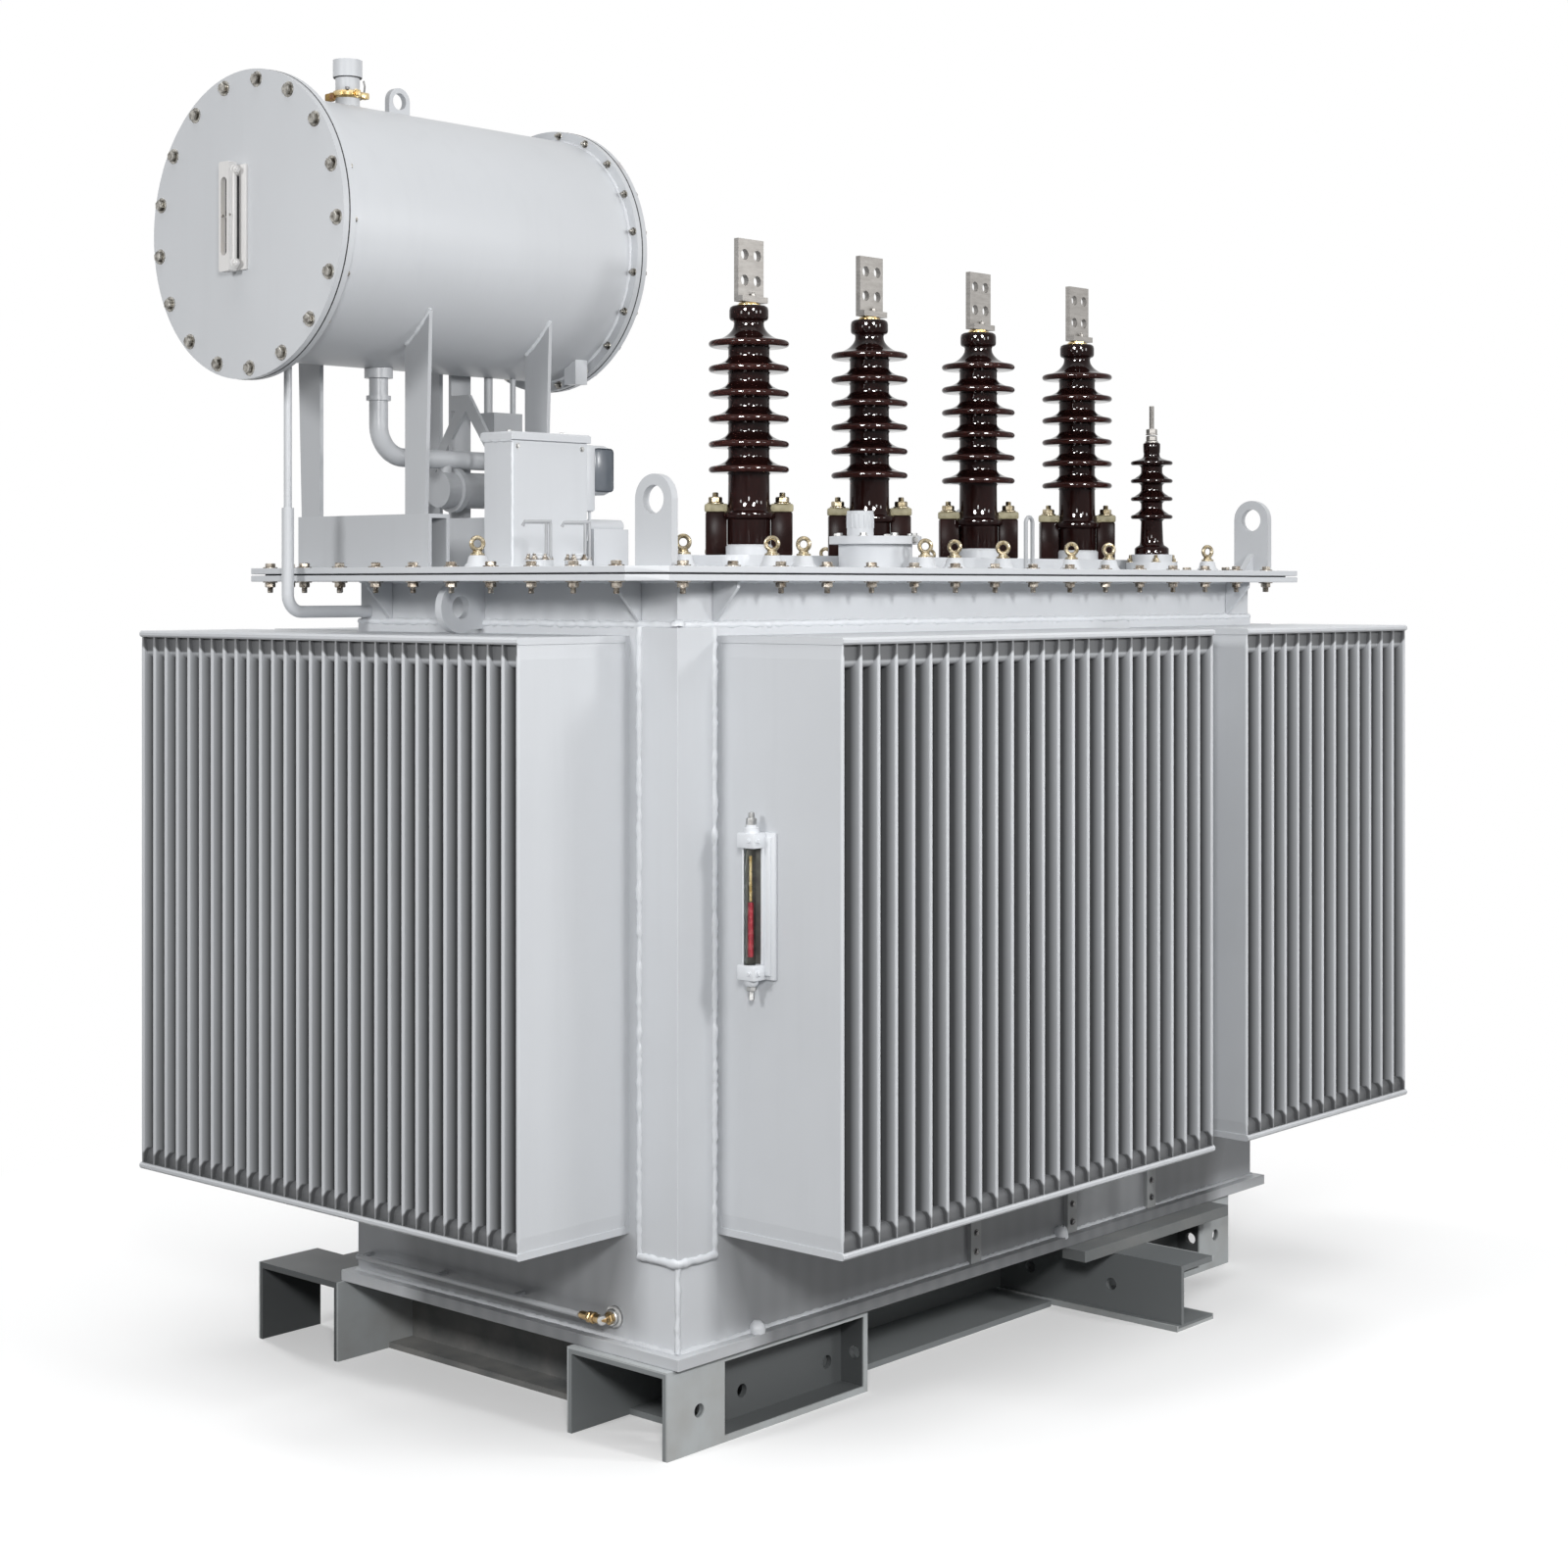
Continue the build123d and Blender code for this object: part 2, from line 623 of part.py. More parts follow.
# Breather chamber hung under the shell by two tubes
chamber_z = con_foot - BREATHER_DROP
half_d = BREATHER_D / 2
breather = block(BREATHER_X, BREATHER_X + BREATHER_L, -half_d, half_d, chamber_z - BREATHER_H, chamber_z)
for dx, dy, r in BREATHER_TUBES:
    breather += rod_z(BREATHER_X + dx, dy, chamber_z, con_foot + BREATHER_D, r)
nodes["breather_chamber"] = Pos(0, con_y, 0) * breather - clear

# Filler on top, lifting eye, and the drain pipe that runs to the tank neck
filler_top = con_crown + FILLER_H
filler = rod_z(FILLER_X, con_y, con_crown - FILLER_R, filler_top, FILLER_R)
nodes["filler_neck"] = filler - clear
nodes["filler_cap"] = rod_z(FILLER_X, con_y, filler_top, filler_top + FILLER_CAP_H, FILLER_CAP_R)
eye = block(-EYE_R, EYE_R, -EYE_R / 4, EYE_R / 4, -EYE_R / 2, EYE_H)
eye += rod_y(0, -EYE_R / 4, EYE_R / 4, EYE_H, EYE_R)
eye -= rod_y(0, -EYE_R, EYE_R, EYE_H, EYE_HOLE_R)
eye = Pos(EYE_X, con_y, con_crown) * eye - clear
boss_y = con_y + BOSS_Y
boss_z = con_z - (CON_R ** 2 - BOSS_Y ** 2) ** 0.5
boss = block(BOSS_X, BOSS_X + BOSS_W, boss_y - BOSS_W / 2, boss_y + BOSS_W / 2, boss_z - BOSS_H, boss_z + BOSS_H)
nodes["conservator_lugs"] = Compound([eye, boss - clear])
drain_y = con_y + DRAIN_Y
drain_z = TANK_TOP - DRAIN_FALL
drain_bend_z = drain_z + DRAIN_BEND
drain = rod_z(DRAIN_X, drain_y, drain_bend_z, con_foot + DRAIN_Y, DRAIN_R)
drain_at = Plane((DRAIN_X, drain_y, drain_bend_z), x_dir=(1, 0, 0), z_dir=(0, 0, 1))
drain_axis = Axis((DRAIN_X + DRAIN_BEND, drain_y, drain_bend_z), (0, -1, 0))
drain += rod_z(DRAIN_X, drain_y, drain_bend_z, LID_Z + DRAIN_SLEEVE_H, DRAIN_SLEEVE_R)
drain += revolve(drain_at * Circle(DRAIN_SLEEVE_R), drain_axis, 90)
drain += rod_x(DRAIN_X + DRAIN_BEND, NECK_STEP, drain_y, drain_z, DRAIN_SLEEVE_R)
nodes["drain_pipe"] = drain - clear

# Oil gauge on the front cover: a backing plate, two end blocks, side rails and the glass
cg_y = con_y + CGAUGE_Y
cg_z = con_z + CGAUGE_Z
half_g = CGAUGE_W / 2
rail_z = CGAUGE_H / 2 - CGAUGE_END
gauge_x = CON_X0 - GAUGE_PLATE
frame = block(gauge_x, CON_X0, cg_y - half_g, cg_y + half_g, cg_z - CGAUGE_H / 2, cg_z + CGAUGE_H / 2)
for s in (-1, 1):
    low = min(s * rail_z, s * CGAUGE_H / 2)
    frame += block(
        CON_X0 - CGAUGE_OUT, gauge_x, cg_y - half_g * 0.7, cg_y + half_g * 0.7, cg_z + low, cg_z + low + CGAUGE_END
    )
    rail_y = cg_y + s * half_g * 0.56
    frame += block(CON_X0 - CGAUGE_OUT + 4, gauge_x - 8, rail_y - 4, rail_y + 4, cg_z - rail_z, cg_z + rail_z)
nodes["conservator_gauge"] = frame
nodes["conservator_gauge_glass"] = rod_z(
    CON_X0 - CGAUGE_OUT / 2 - 4, cg_y, cg_z - rail_z, cg_z + rail_z, half_g * 0.3
)

# Terminal box, its lid, the dial on its side and the gland beside it
box_x1 = BOX_X + BOX_L
box_y = con_y - BOX_AHEAD
box_y1 = box_y + BOX_D
box_z1 = LID_Z + BOX_H
nodes["terminal_box"] = block(BOX_X, box_x1, box_y, box_y1, LID_Z, box_z1)
box_lid = block(BOX_X - BOX_LIP, box_x1 + BOX_LIP, box_y - BOX_LIP, box_y1 + BOX_LIP, box_z1, box_z1 + BOX_LID_T)
nodes["terminal_box_lid"] = chamfer(box_lid.faces().sort_by(Axis.Z)[-1].edges(), BOX_LIP / 2)
dial_z1 = box_z1
dial = block(box_x1, box_x1 + DIAL_L, box_y + BOX_LIP, box_y + BOX_LIP + DIAL_D, dial_z1 - DIAL_H, dial_z1)
nodes["dial_instrument"] = chamfer(dial.edges().filter_by(Axis.Y), DIAL_CUT)
gland_y = box_y + BOX_D / 2
gland_z = LID_Z + 6.5 * GLAND_R
gland = rod_x(box_x1, box_x1 + GLAND_L, gland_y, gland_z, GLAND_R)
gland += block(
    box_x1 + GLAND_L / 4, box_x1 + GLAND_L, gland_y - 2 * GLAND_R, gland_y + 2 * GLAND_R, LID_Z, gland_z - GLAND_R / 2
)
nodes["cable_gland"] = gland

# Capped fittings on the lid in front of the box
fitting_y = box_y - FITTING_AHEAD
fitting = turned([
    (0, 0), (2 * FITTING_R, 0), (2 * FITTING_R, FITTING_R), (FITTING_R, FITTING_R),
    (FITTING_R, FITTING_H * 0.6), (FITTING_R * 1.4, FITTING_H * 0.6), (FITTING_R * 1.4, FITTING_H * 0.8),
    (FITTING_R, FITTING_H * 0.86), (FITTING_R * 0.8, FITTING_H), (0, FITTING_H),
])
nodes["capped_fittings"] = Compound([Pos(x, fitting_y, LID_Z) * fitting for x in FITTING_X])

# A deck plate bolted on the lid under the bushings
deck_x1 = BUSH_X0 + (BUSH_COUNT - 1) * BUSH_PITCH + DECK_END + BUSH_BASE_R
deck = block(DECK_X0, deck_x1, DECK_Y0, DECK_Y1, LID_Z, LID_Z + DECK_T)
nodes["bushing_deck"] = fillet(deck.edges().filter_by(Axis.Z), DECK_CORNER)

# Bushings: base collar, porcelain with its skirt and sheds, clamps on their feet, nut and flag
deck_z = LID_Z + DECK_T
base_z = deck_z + BUSH_BASE_H
skirt_z = base_z + SKIRT_H
clamp_z = skirt_z + CLAMP_H
crown_z = clamp_z + SHED_START + (SHED_COUNT - 1) * SHED_PITCH + CROWN_H / 2
top_z = crown_z + CROWN_H
flag_z = top_z + NUT_H
base_ring = turned([
    (0, deck_z), (BUSH_BASE_R, deck_z), (BUSH_BASE_R, base_z - 4), (BUSH_BASE_R - 4, base_z), (0, base_z),
])
stem = [(0, base_z), (SKIRT_R, base_z), (SKIRT_R, skirt_z - SKIRT_RING_H), (SKIRT_RING_R, skirt_z - SKIRT_RING_H)]
stem += [(SKIRT_RING_R, skirt_z), (BODY_R + 6, skirt_z)]
stem += shed_profile(BODY_R, SHED_R, SHED_PITCH, SHED_COUNT, clamp_z, SHED_START)
stem += [(CROWN_NECK_R, crown_z), (CROWN_NECK_R, crown_z + CROWN_H * 0.4), (CROWN_R, crown_z + CROWN_H * 0.5)]
stem += [(CROWN_R, top_z - CROWN_H * 0.15), (CROWN_R * 0.8, top_z), (0, top_z)]
porcelain = turned(stem)
clamp = block(BODY_R + 8, CLAMP_R, -CLAMP_W / 2, CLAMP_W / 2, skirt_z, skirt_z + CLAMP_T)
leg = block(SKIRT_RING_R + LEG_GAP, CLAMP_R, -CLAMP_W / 2, CLAMP_W / 2, deck_z, skirt_z)
nut = extrude(Pos(0, 0, top_z) * RegularPolygon(NUT_R, 6), NUT_H)
flag = block(-FLAG_W / 2, FLAG_W / 2, -FLAG_T / 2, FLAG_T / 2, flag_z, flag_z + FLAG_H)
flag += block(-FLAG_W / 2, FLAG_W / 2, -FLAG_FOOT, FLAG_T / 2, flag_z, flag_z + FLAG_T)
hole_z = flag_z + FLAG_H / 2 + FLAG_HOLE_UP
for dx in (-FLAG_DX / 2, FLAG_DX / 2):
    for dz in (-FLAG_DZ / 2, FLAG_DZ / 2):
        flag -= rod_y(dx, -FLAG_T, FLAG_T, hole_z + dz, FLAG_HOLE_R)
places = [Pos(BUSH_X0 + i * BUSH_PITCH, BUSH_Y, 0) for i in range(BUSH_COUNT)]
clamp_sides = (-45, 135)

# The small bushing
small = Pos(SMALL_X, SMALL_Y, 0)
small_z = LID_Z + SMALL_BASE_H
ring_z = small_z + SMALL_RING_H
small_top = ring_z + SMALL_SHED_START + (SMALL_SHED_COUNT - 1) * SMALL_SHED_PITCH + SMALL_CROWN_H
small_stem = [(0, small_z + SMALL_RING_H / 2), (SMALL_RING_R - 8, small_z + SMALL_RING_H / 2), (SMALL_RING_R - 8, ring_z)]
small_stem += shed_profile(
    SMALL_BODY_R, SMALL_SHED_R, SMALL_SHED_PITCH, SMALL_SHED_COUNT, ring_z, SMALL_SHED_START
)
small_stem += [(SMALL_CROWN_R, small_top - SMALL_CROWN_H / 2), (SMALL_CROWN_R, small_top), (0, small_top)]
small_base = turned([
    (0, LID_Z), (SMALL_BASE_R, LID_Z), (SMALL_BASE_R, small_z), (SMALL_RING_R, small_z),
    (SMALL_RING_R, small_z + SMALL_RING_H / 2), (0, small_z + SMALL_RING_H / 2),
])
stud_z = small_top + STUD_NUT_H
stud = rod_z(0, 0, small_top, stud_z, STUD_NUT_R) + rod_z(0, 0, stud_z, stud_z + STUD_H, STUD_R)
nodes["bushing_bases"] = Compound([p * base_ring for p in places] + [small * small_base])
nodes["bushing_porcelains"] = Compound([p * porcelain for p in places] + [small * turned(small_stem)])
nodes["bushing_clamps"] = Compound([p * Rot(0, 0, a) * clamp for p in places for a in clamp_sides])
nodes["bushing_clamp_feet"] = Compound([p * Rot(0, 0, a) * leg for p in places for a in clamp_sides])
nodes["bushing_nuts"] = Compound([p * nut for p in places])
nodes["bushing_flags"] = Compound([p * flag for p in places])
nodes["small_bushing_stud"] = small * stud

# Thermometer pocket on its round cover
pocket_z = LID_Z + POCKET_BOSS
plate_z = pocket_z + POCKET_PLATE
cover = turned([
    (0, LID_Z), (POCKET_R * 0.8, LID_Z), (POCKET_R * 0.8, pocket_z),
    (POCKET_R, pocket_z), (POCKET_R, plate_z), (0, plate_z),
])
cover += rod_z(POCKET_TUBE_DX, 0, plate_z, plate_z + POCKET_TUBE_H, POCKET_TUBE_R)
nodes["thermometer_pocket"] = Pos(POCKET_X, POCKET_Y, 0) * cover

# Liquid gauge on the first fin of the front bank
gauge_z = FIN_Z0 + GAUGE_UP
g0 = gauge_z - GAUGE_H / 2
g1 = gauge_z + GAUGE_H / 2
gx = FRONT_INSET
mid_x = gx - (GAUGE_D + GAUGE_PLATE) / 2
half_w = GAUGE_W / 2
gauge = block(gx - GAUGE_PLATE, gx, GAUGE_Y - half_w - GAUGE_SPREAD, GAUGE_Y + half_w, g0, g1)
for z0 in (g0, g1 - GAUGE_END):
    gauge += block(
        gx - GAUGE_D, gx - GAUGE_PLATE, GAUGE_Y - GAUGE_W / 2, GAUGE_Y + GAUGE_W / 2, z0, z0 + GAUGE_END
    )
for z0 in (g0 - 1.3 * GAUGE_END, g1):
    gauge += rod_z(mid_x, GAUGE_Y, z0, z0 + 1.3 * GAUGE_END, GAUGE_END * 0.42)
nodes["liquid_gauge"] = gauge
nodes["liquid_gauge_glass"] = block(
    mid_x - GAUGE_D * 0.3, mid_x + GAUGE_D * 0.3, GAUGE_Y - GAUGE_W * 0.36, GAUGE_Y + GAUGE_W * 0.36,
    g0 + GAUGE_END, g1 - GAUGE_END,
)

# Drain valve and its line along the left wall
valve_z = SKID_H + BASE_T + VALVE_UP
valve = rod_x(-VALVE_T, 0, VALVE_Y, valve_z, VALVE_R)
valve += rod_x(-LINE_OUT - VALVE_STEM_R, -VALVE_T, VALVE_Y, valve_z, VALVE_STEM_R)
valve += rod_y(-LINE_OUT, VALVE_Y, VALVE_Y + VALVE_L, valve_z, VALVE_STEM_R * 0.75)
nodes["drain_valve"] = valve
line_y0 = VALVE_Y + VALVE_L
line_y1 = TANK_W - LINE_INSET
line = rod_y(-LINE_OUT, line_y0, line_y1, valve_z, LINE_R)
for share in (0.3, 0.65, 1):
    y = line_y0 + (line_y1 - line_y0) * share - LINE_R
    line += block(-LINE_OUT, 0, y - LINE_R, y + LINE_R, valve_z - LINE_R / 2, valve_z + LINE_R / 2)
nodes["drain_line"] = line

# Earthing pads on the front wall under the fins
pad_z = SKID_H + BASE_T
pad = block(-PAD_W / 2, PAD_W / 2, -PAD_T, 0, pad_z, pad_z + PAD_H)
nodes["earthing_pads"] = Compound([Pos(TANK_L * share, 0, 0) * pad for share in PAD_SPOTS])

# The whole is centred over the origin and written out
whole = Compound(list(nodes.values())).bounding_box()
shift = Pos(-(whole.min.X + whole.max.X) / 2, -(whole.min.Y + whole.max.Y) / 2, -whole.min.Z)
os.makedirs("parts", exist_ok=True)
for name, shape in nodes.items():
    export_step(shift * shape, f"parts/{name}.step")
print("nodes", len(nodes), "shift", shift.position, "size", whole.size)
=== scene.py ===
"""Looks of an oil-filled power transformer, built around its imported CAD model."""

import math
import random

import bmesh
import bpy
from mathutils import Matrix, Vector


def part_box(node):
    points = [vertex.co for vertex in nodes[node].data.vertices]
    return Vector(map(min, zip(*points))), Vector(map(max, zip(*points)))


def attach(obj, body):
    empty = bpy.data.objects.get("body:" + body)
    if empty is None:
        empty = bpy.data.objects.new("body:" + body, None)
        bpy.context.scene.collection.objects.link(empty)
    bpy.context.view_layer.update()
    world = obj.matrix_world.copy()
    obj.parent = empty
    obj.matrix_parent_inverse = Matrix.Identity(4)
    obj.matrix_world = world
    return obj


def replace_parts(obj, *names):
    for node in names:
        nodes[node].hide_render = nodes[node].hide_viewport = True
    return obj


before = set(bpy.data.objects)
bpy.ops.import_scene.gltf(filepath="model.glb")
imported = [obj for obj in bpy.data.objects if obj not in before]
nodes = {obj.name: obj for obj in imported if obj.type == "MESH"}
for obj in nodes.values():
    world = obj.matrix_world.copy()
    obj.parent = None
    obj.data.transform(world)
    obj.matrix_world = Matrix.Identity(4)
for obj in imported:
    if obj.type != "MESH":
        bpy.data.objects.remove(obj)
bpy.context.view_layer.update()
random.seed(7)

MM = 0.001
TANK0, TANK1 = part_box("tank_body")
TANK_L, TANK_W = (round(side / MM) for side in (TANK1 - TANK0).xy)
# Heights of the base plate's top, of the corners' wedges and of the neck's foot
PLATE_Z, WEDGE_Z, NECK_Z = 182, 344, 1500
scene = bpy.context.scene


def at(x, y, z):
    """A point in metres from millimetres off the tank's front left corner, z from the floor."""
    return Vector((TANK0.x + x * MM, TANK0.y + y * MM, z * MM))


def span(node):
    """A node's two corners in millimetres off the tank's front left corner."""
    return [Vector(((c.x - TANK0.x) / MM, (c.y - TANK0.y) / MM, c.z / MM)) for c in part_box(node)]


# Camera at the photograph's place: level, and turned off +X by an angle in radians
CAMERA_SPOT = (-3438.4, -3300.9, 1570)
CAMERA_TURN = 0.7247
CAMERA_LENS = 60.53
CAMERA_SHIFT = -0.1259


def turned_to(way):
    """The turn that points a camera or a lamp along a way."""
    return Vector(way).to_track_quat("-Z", "Y").to_euler()


cam_data = bpy.data.cameras.new("Camera")
cam_data.sensor_width = 36
cam_data.lens = CAMERA_LENS
cam_data.shift_y = CAMERA_SHIFT
cam = bpy.data.objects.new("Camera", cam_data)
scene.collection.objects.link(cam)
cam.location = at(*CAMERA_SPOT)
cam.rotation_euler = turned_to((math.cos(CAMERA_TURN), math.sin(CAMERA_TURN), 0))
scene.camera = cam

# World: soft light on the object, white for the camera, gloss and glass
scene.view_settings.view_transform = "Standard"
world = bpy.data.worlds.new("Studio")
scene.world = world
world.use_nodes = True
tree = world.node_tree
tree.nodes.clear()


def seen_rays(tree):
    """A factor that is 1 on camera, glossy and transmission rays, and 0 on the rest."""
    path = tree.nodes.new("ShaderNodeLightPath")
    out = path.outputs["Is Camera Ray"]
    for ray in ("Is Glossy Ray", "Is Transmission Ray"):
        join = tree.nodes.new("ShaderNodeMath")
        join.operation = "MAXIMUM"
        tree.links.new(out, join.inputs[0])
        tree.links.new(path.outputs[ray], join.inputs[1])
        out = join.outputs[0]
    return out


def mix_shaders(tree, factor, first, second, output):
    """Two shaders mixed by a factor into an output node."""
    mix = tree.nodes.new("ShaderNodeMixShader")
    tree.links.new(factor, mix.inputs[0])
    tree.links.new(first.outputs[0], mix.inputs[1])
    tree.links.new(second.outputs[0], mix.inputs[2])
    if output:
        tree.links.new(mix.outputs[0], tree.nodes.new(output).inputs["Surface"])
    return mix


def set_range(node, *limits):
    """A Map Range node's limits: from low, from high, to low, to high."""
    for key, number in zip(("From Min", "From Max", "To Min", "To Max"), limits):
        node.inputs[key].default_value = number


soft = tree.nodes.new("ShaderNodeBackground")
soft.inputs["Color"].default_value = (0.97, 0.985, 1.0, 1)
soft.inputs["Strength"].default_value = 0.16
white = tree.nodes.new("ShaderNodeBackground")
white.inputs["Color"].default_value = (1, 1, 1, 1)
white.inputs["Strength"].default_value = 1.0
mix_shaders(tree, seen_rays(tree), soft, white, "ShaderNodeOutputWorld")

# Floor: white to the camera with the object's shadow, darker in the light it throws back
FLOOR_HALF = 60
FADE_NEAR, FADE_FAR = 1.3, 2.5
FLOOR_GLOW = 0.26
floor_mesh = bpy.data.meshes.new("Floor")
signs = ((-1, -1), (1, -1), (1, 1), (-1, 1))
floor_mesh.from_pydata([(a * FLOOR_HALF, b * FLOOR_HALF, 0) for a, b in signs], [], [(0, 1, 2, 3)])
floor = bpy.data.objects.new("Floor", floor_mesh)
scene.collection.objects.link(floor)
floor_mat = bpy.data.materials.new("FloorWhite")
floor_mat.use_nodes = True
tree = floor_mat.node_tree
tree.nodes.clear()
pale = tree.nodes.new("ShaderNodeBsdfDiffuse")
pale.inputs["Color"].default_value = (0.97, 0.97, 0.97, 1)
glow = tree.nodes.new("ShaderNodeEmission")
glow.inputs["Strength"].default_value = 1.0
dim = tree.nodes.new("ShaderNodeBsdfDiffuse")
dim.inputs["Color"].default_value = (0.13, 0.13, 0.13, 1)
far = tree.nodes.new("ShaderNodeVectorMath")
far.operation = "LENGTH"
tree.links.new(tree.nodes.new("ShaderNodeTexCoord").outputs["Object"], far.inputs[0])
fade = tree.nodes.new("ShaderNodeMapRange")
set_range(fade, FADE_NEAR, FADE_FAR, FLOOR_GLOW, 1.0)
tree.links.new(far.outputs["Value"], fade.inputs["Value"])
half = mix_shaders(tree, fade.outputs["Result"], pale, glow, None)
mix_shaders(tree, seen_rays(tree), dim, half, "ShaderNodeOutputMaterial")
floor_mesh.materials.append(floor_mat)


def lamp(name, kind, power, way):
    """A lamp's data and its object, which shines along a way."""
    data = bpy.data.lights.new(name, kind)
    data.energy = power
    obj = bpy.data.objects.new(name, data)
    scene.collection.objects.link(obj)
    obj.rotation_euler = turned_to(way)
    return data, obj


def sun(name, direction, strength, angle):
    """A soft sun that shines along a direction."""
    data, _ = lamp(name, "SUN", strength, direction)
    data.angle = math.radians(angle)


def softbox(name, spot, target, power, size, gloss=True):
    """A square lamp at a spot that shines at a target, both in millimetres off the tank corner."""
    data, obj = lamp(name, "AREA", power, at(*target) - at(*spot))
    data.shape = "SQUARE"
    data.size = size
    obj.location = at(*spot)
    obj.visible_glossy = gloss


glazed = bpy.data.collections.new("GlazedPieces")


def glint(name, spot, target, power):
    """A narrow lamp that only makes highlights, on the glazed pieces alone."""
    data, obj = lamp(name, "SPOT", power, at(*target) - at(*spot))
    data.shadow_soft_size = 0.6
    data.spot_size = math.radians(20)
    data.spot_blend = 0.5
    obj.location = at(*spot)
    obj.visible_diffuse = False
    obj.light_linking.receiver_collection = glazed


softbox("LeftBox", (-3500, 500, 2650), (0, 400, 1000), 50, 0.6)
softbox("FrontBox", (300, -3900, 2750), (600, 0, 1000), 66, 0.6)
softbox("RightBox", (2300, -3700, 2850), (1300, 0, 1000), 44, 0.6)
softbox("CameraBox", (-2900, -2800, 2400), (0, 0, 1100), 86, 0.6)
softbox("BackBox", (700, 4600, 2700), (900, 700, 1000), 70, 0.8, False)
softbox("EndBox", (5400, 900, 2700), (1900, 400, 1000), 55, 0.8, False)
sun("TopLight", (0.12, 0.1, -1), 1.1, 60)
AMONG_BUSHINGS = (1095, 300, 1950)
glint("LeftGlint", (-3340, -1100, 3700), AMONG_BUSHINGS, 9000)
glint("RightGlint", (-840, -3930, 3700), AMONG_BUSHINGS, 9000)


class Look:
    """A node material on one Principled shader, in metres of the object's own frame."""

    def __init__(self, name, metallic=0.0):
        self.mat = bpy.data.materials.new(name)
        self.mat.use_nodes = True
        self.tree = self.mat.node_tree
        self.shader = self.tree.nodes["Principled BSDF"]
        self.shader.inputs["Metallic"].default_value = metallic
        self.coords = self.tree.nodes.new("ShaderNodeTexCoord").outputs["Object"]

    def link(self, out, socket):
        self.tree.links.new(out, socket)

    def noise(self, scale, detail=3.0, stretch=(1, 1, 1)):
        mapping = self.tree.nodes.new("ShaderNodeMapping")
        mapping.inputs["Scale"].default_value = stretch
        self.link(self.coords, mapping.inputs["Vector"])
        noise = self.tree.nodes.new("ShaderNodeTexNoise")
        noise.inputs["Scale"].default_value = scale
        noise.inputs["Detail"].default_value = detail
        self.link(mapping.outputs["Vector"], noise.inputs["Vector"])
        return noise.outputs["Fac"]

    def remap(self, value, low, high, to_low, to_high):
        node = self.tree.nodes.new("ShaderNodeMapRange")
        set_range(node, low, high, to_low, to_high)
        self.link(value, node.inputs["Value"])
        return node.outputs["Result"]

    def sum_up(self, operation, first, second=None):
        """A math node over one or two values."""
        node = self.tree.nodes.new("ShaderNodeMath")
        node.operation = operation
        for socket, value in zip(node.inputs, (first, second)):
            if isinstance(value, float):
                socket.default_value = value
            elif value is not None:
                self.link(value, socket)
        return node.outputs[0]

    def product(self, first, second):
        return self.sum_up("MULTIPLY", first, second)

    def axis(self, name):
        split = self.tree.nodes.new("ShaderNodeSeparateXYZ")
        self.link(self.coords, split.inputs[0])
        return split.outputs[name.upper()]

    def height(self):
        return self.axis("z")

    def inside(self, name, low, high, soft=0.001):
        """1 between two places on an axis, 0 outside."""
        up = self.remap(self.axis(name), low, low + soft, 0, 1)
        return self.product(up, self.remap(self.axis(name), high - soft, high, 1, 0))

    def radius(self):
        flat = self.tree.nodes.new("ShaderNodeVectorMath")
        flat.operation = "MULTIPLY"
        flat.inputs[1].default_value = (1, 1, 0)
        self.link(self.coords, flat.inputs[0])
        size = self.tree.nodes.new("ShaderNodeVectorMath")
        size.operation = "LENGTH"
        self.link(flat.outputs[0], size.inputs[0])
        return size.outputs["Value"]

    def blend(self, factor, first, second):
        mix = self.tree.nodes.new("ShaderNodeMix")
        mix.data_type = "RGBA"
        self.link(factor, mix.inputs[0])
        for socket, colour in ((mix.inputs[6], first), (mix.inputs[7], second)):
            if isinstance(colour, tuple):
                socket.default_value = (*colour, 1)
            else:
                self.link(colour, socket)
        return mix.outputs[2]

    def colour(self, out):
        self.link(out, self.shader.inputs["Base Color"])

    def rough(self, low, high, scale):
        self.link(self.remap(self.noise(scale), 0.3, 0.7, low, high), self.shader.inputs["Roughness"])

    def bump(self, height, strength, distance):
        node = self.tree.nodes.new("ShaderNodeBump")
        node.inputs["Strength"].default_value = strength
        node.inputs["Distance"].default_value = distance
        self.link(height, node.inputs["Height"])
        self.link(node.outputs["Normal"], self.shader.inputs["Normal"])


DUST = (0.36, 0.345, 0.325)
RUST = (0.23, 0.085, 0.03)


def scaled(colour, factor):
    return tuple(min(1.0, c * factor) for c in colour)


